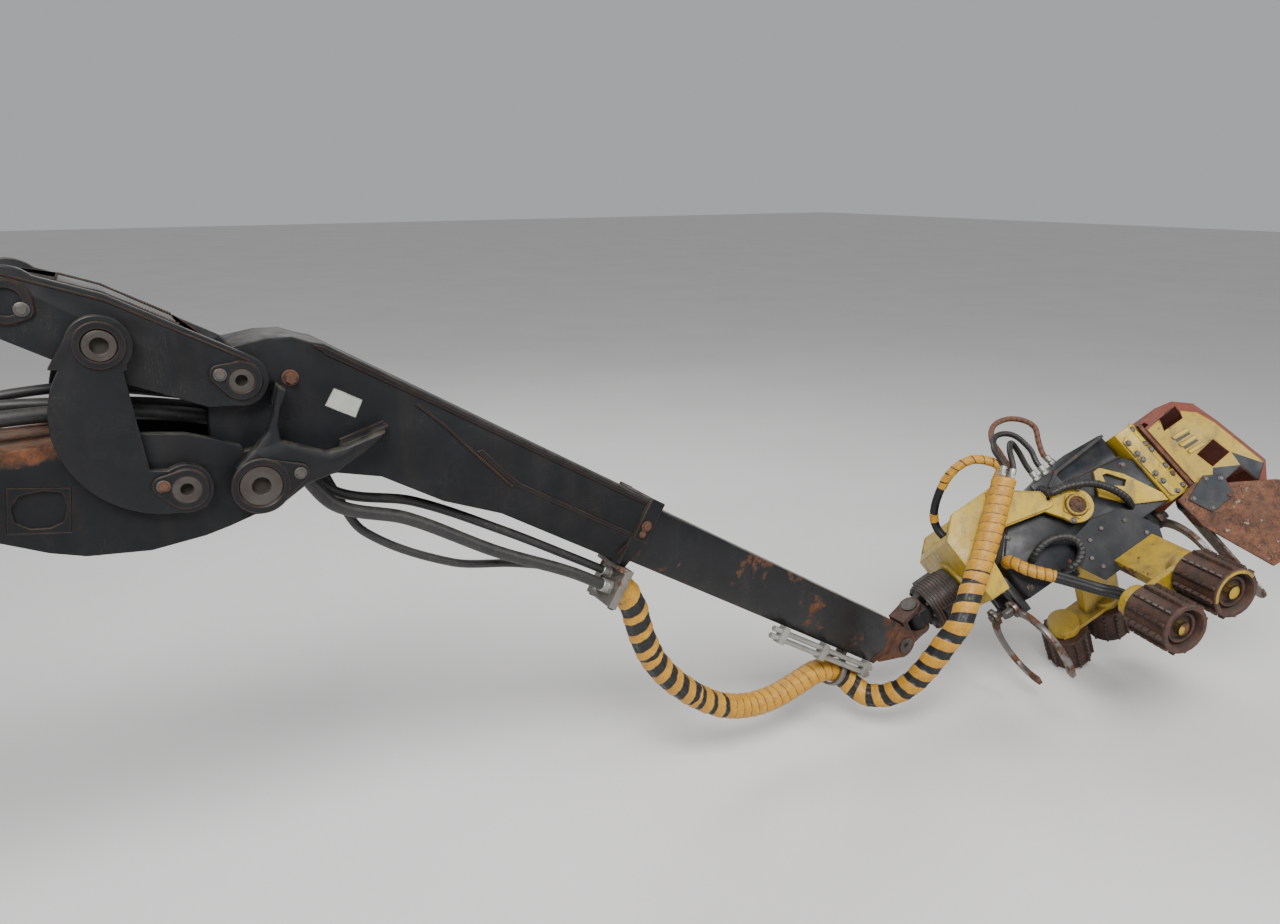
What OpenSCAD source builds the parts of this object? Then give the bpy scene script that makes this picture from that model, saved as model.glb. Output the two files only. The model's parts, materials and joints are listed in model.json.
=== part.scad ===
// Crane boom of a forestry harvester with its harvester head.
// Origin on the foot pin of the main boom, +X forward along the crane, +Z up, +Y to the far side.
// All sizes in millimetres, all angles in degrees.

/* [Crane layout] */
// Distance from foot pin to jib pivot, along X
pivot_x = 3940; // [3200:10:5000]
// How far the jib pivot lies below the foot pin
pivot_drop = 620; // [400:10:900]
// Slope of the main boom's top plate, down towards the tip
boom_slope = 10; // [5:1:15]
// Slope of the jib below the horizontal, as parked
jib_slope = 31.5; // [20:0.5:45]

/* [Main boom] */
// Half width of the main box
boom_half_w = 130; // [110:1:160]
// Height of the top plate over the foot pin's centre line
boom_top = 150; // [130:5:220]
// Foot pin bore radius
foot_bore_r = 45; // [30:1:60]
// Foot boss radius
foot_boss_r = 115; // [90:5:140]
// Foot boss length
foot_boss_l = 340; // [300:10:400]
// Lift cylinder bore radius
lift_bore_r = 35; // [25:1:45]
// Place of the lift cylinder bore along X
lift_x = 1250; // [900:10:1600]
// Lift cylinder bore below the foot pin
lift_drop = 600; // [520:10:700]
// Thickness of one lift cylinder lug
lift_lug_t = 40; // [25:1:60]
// Free width between the lift cylinder lugs
lift_gap = 110; // [80:5:140]
// Thickness of one cast cheek at the tip
cheek_t = 30; // [20:1:40]
// Free width between the cheeks
fork_gap = 250; // [240:1:280]

/* [Linkage] */
// Rocker pin on the main boom, behind the jib pivot
rocker_back = 200; // [150:5:240]
// Rocker pin above the jib pivot
rocker_up = 22; // [0:2:60]
// Rocker top pin, behind the jib pivot
link_top_back = 359; // [300:1:400]
// Rocker top pin above the jib pivot
link_top_up = 455; // [400:1:500]
// Jib horn pin, behind the jib pivot
horn_back = 12; // [0:1:40]
// Jib horn pin above the jib pivot
horn_up = 316; // [280:1:340]
// Cylinder pin on the upper arm, behind the jib pivot
arm_pin_back = 550; // [500:5:600]
// Cylinder pin above the jib pivot
arm_pin_up = 581; // [540:1:620]
// Thickness of one linkage plate
link_plate_t = 30; // [20:1:40]
// Side gap between neighbouring plates
side_gap = 5; // [5:1:10]
// Radius of the linkage pins
link_pin_r = 30; // [24:1:36]
// Radius of the jib pivot pin
pivot_pin_r = 42; // [34:1:50]
// Radial play of a pin in its running bore
pin_play = 0.05; // [0.02:0.01:0.1]

/* [Jib cylinder] */
// Cylinder foot pin, behind the jib pivot
cyl_back = 2050; // [1900:10:2200]
// Cylinder foot pin above the jib pivot
cyl_up = 540; // [500:10:600]
// Barrel radius
barrel_r = 72; // [60:1:80]
// Barrel length from its foot pin
barrel_l = 1090; // [1000:10:1150]
// Rod radius
rod_r = 36; // [30:1:45]

/* [Jib] */
// Half width of the jib
jib_half_w = 116; // [105:1:118]
// Height of the jib's top plate over the pivot line
jib_top = 464; // [440:2:490]
// Height of the jib's bottom plate over the pivot line
jib_bottom = 184; // [160:2:200]
// Height of the bend where the side turns in
jib_bend = 295; // [270:5:320]
// Half width of the jib's bottom plate
jib_floor_half_w = 70; // [60:2:90]
// Wall of the jib sleeve
jib_wall = 13; // [10:1:16]
// Length from pivot to the mouth of the sleeve
jib_len = 1450; // [1300:10:1700]
// How far the collar stands out round the sleeve
collar_out = 10; // [6:1:16]
// Length of the collar
collar_l = 60; // [40:5:100]
// Free space between sleeve and extension
slide_play = 6; // [5:1:10]

/* [Extension] */
// Reach of the swing pin along the jib
tip_reach = 3290; // [3100:10:3600]
// Height of the swing pin over the pivot line
tip_up = 360; // [300:5:400]
// How much of the extension stays inside the sleeve, as parked
overlap = 450; // [400:10:600]
// Radius of the swing pin and the cross pin
swing_pin_r = 30; // [24:1:36]
// Radius of the eyes on the swing pin
swing_eye_r = 72; // [60:1:85]

/* [Swing link and rotator] */
// Rise of the swing link above the horizontal, as parked
link_rise = 31.2; // [0:0.1:60]
// Turn of the rotator towards the near side, as parked
cross_turn = 13; // [0:1:25]
// Roll of the head on its rotator, as parked
head_roll = 46; // [0:1:90]
// Distance from swing pin to cross pin
link_len = 170; // [150:5:220]
// Distance from cross pin to the head's tilt pin
hang_len = 925; // [850:5:1000]
// Radius of the rotator housing
rotator_r = 125; // [110:1:150]

/* [Harvester head] */
// Half width of the head's frame
head_half_w = 250; // [220:5:280]
// Free half width between the hanger's side plates
hanger_half_w = 300; // [290:5:330]
// Thickness of the hanger's side plates
hanger_t = 30; // [20:1:40]
// Tilt pin radius
tilt_pin_r = 40; // [30:1:50]
// Feed roller radius over its ribs
roller_r = 130; // [110:1:135]
// Feed roller length
roller_l = 240; // [200:10:300]
// Distance between the two rollers of one arm
roller_pitch = 285; // [275:5:320]
// How far the feed arms stand open, as parked
arm_open = 52; // [0:1:60]
// How far the delimbing knives stand open, as parked
knife_open = 30; // [0:1:45]
// Saw bar length from its pivot to the tip's centre
bar_l = 515; // [450:5:560]
// Saw bar half width
bar_half_w = 45; // [35:1:55]
// Saw bar thickness
bar_t = 12; // [8:1:14]

/* [Hidden] */
$fn = 64;
eps = 0.3;
end_gap = 0.4;
cheek_in = fork_gap / 2;
cheek_out = cheek_in + cheek_t;
rocker_in = cheek_out + side_gap;
rocker_out = rocker_in + link_plate_t;
steel_dark = [0.10, 0.10, 0.11];
steel_bare = [0.45, 0.36, 0.32];
paint_yellow = [0.86, 0.70, 0.22];
rust_red = [0.42, 0.20, 0.15];
chrome = [0.75, 0.76, 0.78];
rubber = [0.05, 0.05, 0.05];
wrap_yellow = [0.90, 0.55, 0.10];

rocker_foot = [-rocker_back, rocker_up];
rocker_top = [-link_top_back, link_top_up];
horn_pin = [-horn_back, horn_up];
arm_pin = [-arm_pin_back, arm_pin_up];
cyl_foot = [-cyl_back, cyl_up];
cyl_len = norm(arm_pin - cyl_foot);
cyl_rise = atan2(arm_pin[1] - cyl_foot[1], arm_pin[0] - cyl_foot[0]);

// Height of the main boom's top plate at a distance x from the foot pin.
function boom_top_at(x) = boom_top - x * tan(boom_slope);

// A point given beside the jib pivot, seen along the jib.
function along_jib(p) = [p[0] * cos(jib_slope) - p[1] * sin(jib_slope),
                         p[0] * sin(jib_slope) + p[1] * cos(jib_slope)];
horn_jib = along_jib(horn_pin);

// Frames

module at_pivot() { translate([pivot_x, 0, -pivot_drop]) children(); }
module in_jib() { at_pivot() rotate([0, jib_slope, 0]) children(); }
module in_link() {
    in_jib() translate([tip_reach, 0, tip_up]) rotate([0, -jib_slope - link_rise, 0]) children();
}
module in_cross() { in_link() translate([link_len, 0, 0]) rotate([0, 0, -cross_turn]) children(); }
module in_head() {
    in_cross() translate([hang_len, 0, 0]) rotate([-head_roll, 0, 0]) children();
}

// Helpers

// A side outline in X and Z, thick from y0 to y1.
module slab(y0, y1) { translate([0, y1, 0]) rotate([90, 0, 0]) linear_extrude(y1 - y0) children(); }

// The same outline on both sides of the middle plane.
module slabs(y0, y1) {
    slab(y0, y1) children();
    slab(-y1, -y0) children();
}

// A cross-section in Y and Z, drawn out along X.
module beam(x0, x1) { translate([x0, 0, 0]) rotate([90, 0, 90]) linear_extrude(x1 - x0) children(); }

// A round bar along Y, on a point of the side view.
module bar_y(p, r, y0, y1) { translate([p[0], y0, p[1]]) rotate([-90, 0, 0]) cylinder(r = r, h = y1 - y0); }

// A round bar along X.
module bar_x(x0, x1, r, y = 0, z = 0) { translate([x0, y, z]) rotate([0, 90, 0]) cylinder(r = r, h = x1 - x0); }

// A pin along Y with a ring-shaped head and a centre hole at each end.
module pin_y(p, r, half_l, head_r, head_t, hole_r) {
    difference() {
        union() {
            bar_y(p, r, -half_l, half_l);
            bar_y(p, head_r, half_l, half_l + head_t);
            bar_y(p, head_r, -half_l - head_t, -half_l);
        }
        bar_y(p, hole_r, half_l + head_t - 22, half_l + head_t + 1);
        bar_y(p, hole_r, -half_l - head_t - 1, -half_l - head_t + 22);
    }
}

module disc(p, r) { translate(p) circle(r = r); }

// Tube swept along points; every ring has eight sides and stands square to the route.
function unit(v) = v / norm(v);
function tangent(p, i) = unit(p[min(i + 1, len(p) - 1)] - p[max(i - 1, 0)]);
function side_of(t) = abs(t[1]) > 0.8 ? unit(cross(t, [0, 0, 1])) : unit(cross(t, [0, 1, 0]));
function carried(s, t) = unit(s - t * (s * t));
function sides(p, i) = i <= 0 ? side_of(tangent(p, 0)) : carried(sides(p, i - 1), tangent(p, i));
function ring(p, r, i, shift) = let (t = tangent(p, i), a = sides(p, i), b = cross(t, a))
    [for (k = [0:7]) p[i] + shift * t + r * (cos(45 * k) * a + sin(45 * k) * b)];

// The stretch of a route from one point to another. It stops a hair short of the next stretch.
module hose_run(p, r, first, last) {
    n = last - first + 1;
    points = [for (i = [first:last]) each ring(p, r, i,
        i == first && first > 0 ? end_gap : i == last && last < len(p) - 1 ? -end_gap : 0)];
    walls = [for (i = [0:n - 2]) for (k = [0:7]) let (m = (k + 1) % 8)
        each [[8 * i + k, 8 * i + 8 + m, 8 * i + m], [8 * i + k, 8 * i + 8 + k, 8 * i + 8 + m]]];
    caps = [[for (k = [0:7]) k], [for (k = [7:-1:0]) 8 * (n - 1) + k]];
    polyhedron(points, concat(walls, caps));
}

module hose(p, r) { hose_run(p, r, 0, len(p) - 1); }

// A point of the head, seen along the jib.
function turn_x(p, a) = [p[0], p[1] * cos(a) - p[2] * sin(a), p[1] * sin(a) + p[2] * cos(a)];
function turn_y(p, a) = [p[0] * cos(a) + p[2] * sin(a), p[1], p[2] * cos(a) - p[0] * sin(a)];
function turn_z(p, a) = [p[0] * cos(a) - p[1] * sin(a), p[0] * sin(a) + p[1] * cos(a), p[2]];
function from_head(p) = turn_x(p, -head_roll) + [hang_len, 0, 0];
function from_cross(p) = turn_z(p, -cross_turn) + [link_len, 0, 0];
function head_to_jib(p) = turn_y(from_cross(from_head(p)), -jib_slope - link_rise) + [tip_reach, 0, tip_up];

// Hose routes. The first three start at the steel pipes on the main boom and pass the linkage,
// given beside the jib pivot.
thick_r = 24;
thin_r = 18;
third_r = 16;
thick_route = [[-790, -98, 259], [-620, -84, 262], [-440, -50, 252], [-250, -35, 225], [-60, -35, 176],
    [70, -35, 100], [150, -35, -30], [250, -38, -160], [480, -42, -248], [800, -46, -438],
    [1097, -50, -586], [1283, -50, -700]];
thin_route = [[-790, 86, 259], [-620, 66, 268], [-430, 26, 262], [-240, 8, 242], [-60, 8, 194],
    [80, 8, 115], [150, 8, 5], [260, 4, -125], [520, 0, -205], [850, -5, -380], [1124, -10, -543],
    [1310, -10, -657]];
third_route = [[-790, 124, 259], [-610, 112, 290], [-420, 72, 300], [-210, 46, 266], [-20, 45, 210],
    [115, 45, 126], [200, 45, 10], [262, 44, -135], [350, 40, -300], [650, 30, -476], [900, 26, -535],
    [1089, 25, -599], [1275, 25, -713]];

// The wrapped bundle in one route: the loop under the extension and the tail along the jib,
// then the rise beside the hanger, given at the head. Four points part its five stretches.
bundle_r = 60;
bundle_low = [[1486, -10, 85], [1550, -10, 80], [1640, -3, 30], [1745, 8, -60], [1870, 14, -148],
    [2020, 18, -212], [2190, 20, -250], [2370, 20, -262], [2535, 20, -230], [2675, 18, -155],
    [2785, 16, -52], [2870, 15, 38], [2950, 15, 84], [2987, 15, 88], [3030, 13, 88], [3105, -20, 66], [3165, -85, 50],
    [3205, -150, 80], [3222, -215, 140], [3222, -268, 215], [3213, -308, 305], [3200, -340, 400],
    [3190, -365, 490]];
bundle_rise = [[-860, -400, -140], [-740, -400, -62], [-600, -400, 30], [-460, -400, 128],
    [-310, -398, 240], [-230, -398, 300]];
bundle_route = concat(bundle_low, [for (p = bundle_rise) head_to_jib(p)]);
loop_end = 13;
tail_link = 17;
tail_cross = 20;
tail_hanger = 23;

// Hoses that leave the end of the bundle, given at the head.
arc_r = 15;
sleeve_r = 24;
small_r = 32;
arc_one = [[-242, -426, 318.5], [-195, -426, 354], [-165, -385, 450], [-85, -320, 505], [10, -268, 465],
    [42, -244, 360], [25, -239, 280], [25, -239, 204.4]];
arc_two = [[-215.5, -426, 282.5], [-168, -425, 318], [-115, -405, 400], [-60, -350, 432], [-30, -280, 380],
    [-30, -239, 290], [-30, -239, 204.4]];
brown_arc = [[-213, -368, 281], [-165, -367, 317], [-135, -335, 410], [-90, -262, 510], [10, -180, 570],
    [130, -130, 545], [200, -108, 455], [165, -102, 365], [142, -100, 300], [152, -100, 231.3]];
sleeve_route = [[-246, -376, 324.5], [-199, -376, 360], [-225, -372, 425], [-300, -370, 478],
    [-400, -322, 480], [-490, -235, 430], [-555, -160, 360], [-573, -130, 300], [-573, -130, 237.4]];
small_route = [[-438, -250.5, -40], [-438, -305, -40], [-405, -345, -120], [-330, -350, -210],
    [-255, -345, -300], [-190, -355, -385], [-150, -403, -446], [-150, -465.5, -495]];

// Main boom

module cheek_outline() {
    difference() {
        union() {
            polygon([[-780, 205], [-630, 186], [-290, 192], [-182, 177], [-115, 155], [-34, 119], [0, 0],
                [-20, -103], [-91, -125], [-164, -143], [-313, -160], [-477, -144], [-563, -116],
                [-672, -64], [-780, -20]]);
            circle(r = 105);
        }
        circle(r = pivot_pin_r + pin_play);
    }
}

module boom_outline() {
    polygon([[-20, 112], [200, boom_top_at(200)], [pivot_x - 630, boom_top_at(pivot_x - 630)],
        [pivot_x - 420, -pivot_drop + 185], [pivot_x - 420, -pivot_drop - 152], [pivot_x - 477, -pivot_drop - 144],
        [pivot_x - 672, -pivot_drop - 64], [2300, -560], [lift_x + 150, -490], [lift_x - 150, -478],
        [700, -330], [150, -112], [-20, -112]]);
}

module main_boom() {
    color(steel_dark) slab(-boom_half_w, boom_half_w) difference() {
        boom_outline();
        disc([0, 0], foot_boss_r + eps);
    }
}

module foot_boss() {
    color(steel_dark) difference() {
        bar_y([0, 0], foot_boss_r, -foot_boss_l / 2, foot_boss_l / 2);
        bar_y([0, 0], foot_bore_r, -foot_boss_l, foot_boss_l);
    }
}

// Fork at the boom's end: two cheek plates and the tube of the rocker's foot pin between them.
module boom_tip() {
    color(steel_dark) difference() {
        at_pivot() union() {
            slabs(cheek_in, cheek_out) cheek_outline();
            bar_y(rocker_foot, 66, -cheek_in - 1, cheek_in + 1);
        }
        slab(-boom_half_w - eps, boom_half_w + eps) offset(delta = eps) boom_outline();
        at_pivot() {
            bar_y(rocker_foot, link_pin_r + pin_play, -cheek_out - 1, cheek_out + 1);
            for (side = [-1, 1])
                translate([-567, side * cheek_out, 12]) rotate([0, 9, 0]) cube([150, 24, 130], center = true);
        }
    }
}

// Lugs on the boom: under it those for the lift cylinder's rod, on it those for the jib cylinder's foot.
module boom_lugs() {
    color(steel_dark) slabs(lift_gap / 2, lift_gap / 2 + lift_lug_t) difference() {
        union() {
            polygon([[lift_x - 190, -440], [lift_x + 190, -440], [lift_x + 66, -lift_drop - 20],
                [lift_x - 66, -lift_drop - 20]]);
            disc([lift_x, -lift_drop], 70);
        }
        offset(delta = eps) boom_outline();
        disc([lift_x, -lift_drop], lift_bore_r);
    }
    color(steel_dark) at_pivot() slabs(cyl_lug_in, cyl_lug_out) difference() {
        union() {
            polygon([[-cyl_back - 120, 410], [-cyl_back + 130, 370], [-cyl_back + 50, cyl_up],
                [-cyl_back - 50, cyl_up]]);
            disc(cyl_foot, 55);
        }
        disc(cyl_foot, link_pin_r + pin_play);
        translate([-pivot_x, pivot_drop]) offset(delta = eps) boom_outline();
    }
}

cyl_lug_in = 48;
cyl_lug_out = 72;

// Steel oil pipes along the top plate. Columns: place across the boom and radius; then for the
// clamps the place and half the width.
boom_pipe_table = [[-98, 14], [86, 11], [124, 11]];
boom_clamp_table = [[-98, 24], [105, 32]];
pipe_start = 300;
pipe_end = (pivot_x - 790) / cos(boom_slope) - 14;
pipe_lift = 44;

module boom_pipes() {
    color(steel_bare) translate([0, 0, boom_top]) rotate([0, boom_slope, 0]) {
        for (row = boom_pipe_table) bar_x(pipe_start, pipe_end, row[1], row[0], pipe_lift);
        for (x = [pipe_start + 200, pipe_start + 1000, pipe_end - 835, pipe_end - 135]) for (row = boom_clamp_table)
            translate([x, row[0] - row[1], eps]) cube([50, 2 * row[1], pipe_lift + 10]);
    }
}

// Linkage between main boom and jib

module rocker_outline() {
    difference() {
        union() {
            intersection() {
                disc([-220, 240], 288);
                polygon([[-600, 430], [-316, 430], [-300, 250], [-286, 90], [-150, 70], [-150, -100], [-600, -100]]);
            }
            polygon([[-487, 400], [-432, 490], [-300, 470], [-300, 380]]);
            disc(rocker_top, 82);
            disc(rocker_foot, 74);
        }
        disc(rocker_foot, link_pin_r + pin_play);
        disc(rocker_top, link_pin_r + pin_play);
    }
}

module rocker_plates() {
    color(steel_dark) at_pivot() slabs(rocker_in, rocker_out) rocker_outline();
}

module rocker_pins() {
    color(steel_bare) at_pivot() {
        pin_y(rocker_foot, link_pin_r, rocker_out, 42, 8, 18);
        for (side = [-1, 1]) mirror([0, side < 0 ? 1 : 0, 0])
            difference() {
                union() {
                    bar_y(rocker_top, link_pin_r, rocker_in, rocker_out);
                    bar_y(rocker_top, 42, rocker_out, rocker_out + 8);
                }
                bar_y(rocker_top, 23, rocker_out - 12, rocker_out + 9);
            }
    }
}

module upper_arm() {
    color(steel_dark) at_pivot() difference() {
        union() {
            slabs(cheek_in, cheek_out) union() {
                polygon([[-600, 660], [-549, 668], [-330, 588], [-71, 439], [20, 387], [-12, 240], [-109, 246],
                    [-248, 310], [-314, 337], [-477, 424], [-620, 512]]);
                disc(arm_pin, 92);
                disc(horn_pin, 78);
            }
            slab(-cheek_in - 1, cheek_in + 1)
                polygon([[-430, 622], [-330, 586], [-150, 482], [-165, 458], [-335, 556], [-440, 592]]);
        }
        bar_y(horn_pin, link_pin_r + pin_play, -cheek_out - 1, cheek_out + 1);
    }
}

module horn_pin_bar() {
    color(steel_bare) at_pivot() pin_y(horn_pin, link_pin_r, cheek_out, 40, 5, 17);
}

module in_cylinder() {
    at_pivot() translate([cyl_foot[0], 0, cyl_foot[1]]) rotate([0, -cyl_rise, 0]) children();
}

module jib_cylinder_barrel() {
    color(steel_dark) in_cylinder() difference() {
        union() {
            bar_y([0, 0], 55, 5 - cyl_lug_in, cyl_lug_in - 5);
            translate([0, 5 - cyl_lug_in, -50]) cube([150, 2 * cyl_lug_in - 10, 100]);
            bar_x(105, barrel_l - 60, barrel_r);
            bar_x(barrel_l - 60, barrel_l, barrel_r + 6);
        }
        bar_y([0, 0], link_pin_r + pin_play, -46, 46);
        bar_x(150, barrel_l + 1, rod_r + pin_play);
    }
}

module cylinder_foot_pin() {
    color(steel_bare) at_pivot() pin_y(cyl_foot, link_pin_r, cyl_lug_out + eps, 40, 8, 14);
}

module jib_cylinder_rod() {
    color(chrome) in_cylinder() union() {
        bar_x(280, cyl_len - 40, rod_r);
        bar_y([cyl_len, 0], 62, -40, 40);
        bar_y([cyl_len, 0], link_pin_r, -cheek_in + side_gap, cheek_in - side_gap);
    }
}

// Jib

module sleeve_section(out) {
    polygon([[-jib_half_w - out, jib_top + out], [jib_half_w + out, jib_top + out], [jib_half_w + out, jib_bend],
        [jib_floor_half_w + out, jib_bottom - out], [-jib_floor_half_w - out, jib_bottom - out],
        [-jib_half_w - out, jib_bend]]);
}

// Where the root's flat sides end and the lower facets have grown to their full slant.
root_end = 600;
facet_end = 850;
root_bottom = 152;

module root_outline() {
    polygon([[-238, 339], [-160, 405], [-95, 442], [-40, 452], [0, jib_top], [420, jib_top], [root_end, 365],
        [root_end, root_bottom], [360, 150], [220, 107], [90, 10], [0, -60], [-90, 20], [-176, 71],
        [-214, 140]]);
    circle(r = 92);
    disc(horn_jib, 66);
}

module facet_growth() {
    hull() {
        beam(root_end - 1, root_end)
            polygon([[-jib_half_w, jib_bend], [jib_half_w, jib_bend], [jib_half_w, root_bottom],
                [-jib_half_w, root_bottom]]);
        beam(facet_end - 1, facet_end)
            polygon([[-jib_half_w, jib_bend], [jib_half_w, jib_bend], [jib_floor_half_w, jib_bottom],
                [-jib_floor_half_w, jib_bottom]]);
    }
}

// Passage through the jib's root for the hoses, round the pivot tube.
module hose_passage() {
    slab(-62, 62) difference() {
        polygon([[-290, 20], [-290, 190], [80, 196], [210, 172], [330, 100], [330, -150], [-150, -150]]);
        circle(r = 78);
    }
}

module jib() {
    color(steel_dark) in_jib() difference() {
        union() {
            slab(-jib_half_w, jib_half_w) root_outline();
            facet_growth();
            beam(300, jib_len) sleeve_section(0);
            beam(jib_len - collar_l, jib_len + 5) sleeve_section(collar_out);
        }
        beam(120, jib_len + 10) sleeve_section(-jib_wall);
        hose_passage();
        bar_y([0, 0], pivot_pin_r + pin_play, -jib_half_w - 1, jib_half_w + 1);
        bar_y(horn_jib, link_pin_r + pin_play, -jib_half_w - 1, jib_half_w + 1);
    }
}

module jib_castings() {
    color(steel_dark) in_jib() difference() {
        union() {
            slabs(cheek_out + side_gap, cheek_out + side_gap + 38) union() {
                polygon([[-88, 300], [-59, 201], [-53, 157], [-64, 95], [-88, 20], [0, -80], [66, -29], [125, 53],
                    [188, 118], [249, 228], [284, 319], [179, 205], [136, 169], [73, 160], [-5, 147], [-32, 186],
                    [-49, 235], [-54, 294]]);
                circle(r = 90);
            }
            slabs(jib_half_w, cheek_out + side_gap + 1) union() {
                polygon([[-88, 300], [-66, 225], [-46, 225], [-54, 294]]);
                polygon([[196, 134], [249, 228], [284, 319], [179, 205]]);
            }
        }
        bar_y([0, 0], pivot_pin_r + pin_play, -240, 240);
    }
}

module jib_pivot_pin() {
    color(steel_bare) in_jib() pin_y([0, 0], pivot_pin_r, cheek_out + side_gap + 38, 61, 8, 27);
}

// Bracket under the collar: the hoses end in its rear and the wrapped bundle leaves its front.
bracket_s = jib_len + 2;
bracket_t = 38;
// Hose ends in the bracket: columns are the place across, the height and the hose's radius.
bracket_holes = [[-50, 73.5, thick_r], [-10, 124.3, thin_r], [25, 58.3, third_r]];
module hose_bracket() {
    color(steel_bare) in_jib() difference() {
        union() {
            translate([bracket_s, -105, 5]) cube([bracket_t, 190, jib_bottom - collar_out - 5 - eps]);
            translate([bracket_s - 30, -105, jib_bottom - collar_out - 20]) cube([60, 190, 20 - eps]);
        }
        for (row = bracket_holes) bar_x(bracket_s - 1, bracket_s + 8.6, row[2] + 2, row[0], row[1]);
        bar_x(bracket_s + bracket_t - 12, bracket_s + bracket_t + 1, bundle_r + 0.45, -10, 85);
    }
}

// Extension

tip_back = 155;

module extension_section() {
    grow = -jib_wall - slide_play;
    sleeve_section(grow);
}

module extension() {
    color(steel_dark) in_jib() beam(jib_len - overlap, tip_reach - tip_back) extension_section();
}

module extension_tip() {
    color(rust_red) in_jib() difference() {
        union() {
            beam(tip_reach - tip_back, tip_reach - tip_back + 40) extension_section();
            slabs(55, 85) union() {
                polygon([[tip_reach - tip_back + 30, 225], [tip_reach - tip_back + 30, 430], [tip_reach - 20, 430],
                    [tip_reach + 20, 292]]);
                disc([tip_reach, tip_up], swing_eye_r);
            }
        }
        bar_y([tip_reach, tip_up], swing_pin_r + pin_play, -90, 90);
    }
}

// Pale twin pipes under the extension with their clamps, and the clamp of the wrapped bundle.
extension_floor = jib_bottom + jib_wall + slide_play;

module extension_pipes() {
    color(chrome) in_jib() {
        for (h = [178, 143]) bar_x(tip_reach - 900, tip_reach - 140, 13, -66, h);
        for (back = [850, 550, 210]) translate([tip_reach - back, -86, 122])
            cube([40, 40, extension_floor - 122 - eps]);
    }
}

clamp_back = 318;

module bundle_clamp() {
    color(steel_bare) in_jib() translate([tip_reach - clamp_back, 0, 0]) difference() {
        union() {
            bar_x(0, 30, bundle_r + 20, 15, 88);
            translate([0, -10, 120]) cube([30, 50, extension_floor - 120 - eps]);
        }
        bar_x(-1, 31, bundle_r + 7, 15, 88);
    }
}

// Swing link, cross and rotator

module swing_link() {
    color(steel_dark) in_link() difference() {
        union() {
            bar_y([0, 0], 60, -50, 50);
            translate([0, -50, -55]) cube([85, 100, 110]);
            for (side = [-1, 1]) {
                translate([60, -50, side * 75 - 15]) cube([110, 100, 30]);
                translate([link_len, 0, side * 75 - 15]) cylinder(r = 55, h = 30);
            }
            translate([60, -50, -90]) cube([30, 100, 180]);
        }
        bar_y([0, 0], swing_pin_r + pin_play, -51, 51);
        translate([link_len, 0, -100]) cylinder(r = swing_pin_r + pin_play, h = 200);
    }
}

module swing_pin() {
    color(steel_bare) in_link() pin_y([0, 0], swing_pin_r, 85 + eps, 42, 8, 12);
}

module cross_pin() {
    color(steel_bare) in_link() translate([link_len, 0, 0]) {
        translate([0, 0, -90 - eps]) cylinder(r = swing_pin_r, h = 180 + 2 * eps);
        for (side = [-1, 1]) translate([0, 0, side * (94 + eps) - 4]) cylinder(r = 42, h = 8);
    }
}

rotator_back = 70;
rotator_front = 262;

module rotator_housing() {
    color(steel_dark) in_cross() difference() {
        union() {
            cylinder(r = 52, h = 100, center = true);
            translate([0, -50, -50]) cube([rotator_back + 10, 100, 100]);
            bar_x(rotator_back, rotator_front, rotator_r);
            for (side = [-1, 1])
                translate([rotator_back + 45, side * rotator_r - 30, -50]) cube([110, 60, 100]);
        }
        cylinder(r = swing_pin_r + pin_play, h = 102, center = true);
        bar_x(rotator_front - 40, rotator_front + 1, 60 + pin_play);
    }
}

// Hanger

hanger_back = hang_len - rotator_front - side_gap;

module hanger() {
    color(paint_yellow) in_head() difference() {
        union() {
            slabs(hanger_half_w, hanger_half_w + hanger_t) union() {
                polygon([[-hanger_back + 20, -140], [-hanger_back + 20, 214], [-530, 310], [-300, 310], [-76, 140],
                    [40, 70], [-60, -60], [-143, 60], [-400, 120], [-500, 60], [-530, -140]]);
                disc([0, 0], 88);
            }
            slab(-hanger_half_w - 1, hanger_half_w + 1)
                polygon([[-hanger_back + 20, -140], [-hanger_back + 20, 214], [-hanger_back + 50, 244],
                    [-hanger_back + 50, -140]]);
            bar_x(-hanger_back, -hanger_back + 21, 150);
            bar_x(-hanger_back - 38, -hanger_back + 21, 60);
            translate([-hanger_back + 49, -170, 225]) cube([75, 80, 12]);
        }
        bar_y([0, 0], tilt_pin_r + pin_play, -400, 400);
        bar_y([-90, 102], 9, -400, 400);
    }
}

// Head frame and covers

module head_frame() {
    color(steel_dark) in_head() difference() {
        union() {
            slab(-head_half_w, head_half_w)
                polygon([[-460, -240], [-460, -20], [-300, 140], [-60, 140], [380, 66], [425, 20], [425, -240]]);
            bar_y([0, 0], 84, -hanger_half_w + side_gap, hanger_half_w - side_gap);
            for (side = [-1, 1]) for (x = [-60, 230])
                translate([x, side * arm_pivot_y - 42, -320]) cube([40, 84, 81]);
            for (side = [-1, 1]) translate([-500, side * knife_side - 45, -290]) cube([41, 90, 200]);
            for (side = [-1, 1]) translate([310, side * knife_side - 40, -335]) cube([40, 80, 96]);
        }
        for (side = [-1, 1]) {
            bar_x(-80, 300, 20 + pin_play, side * arm_pivot_y, arm_pivot_z);
            bar_x(-501, -440, 22 + pin_play, side * knife_side, upper_knife_z);
            bar_x(308, 352, 22 + pin_play, side * knife_side, lower_knife_z);
        }
    }
}

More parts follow.
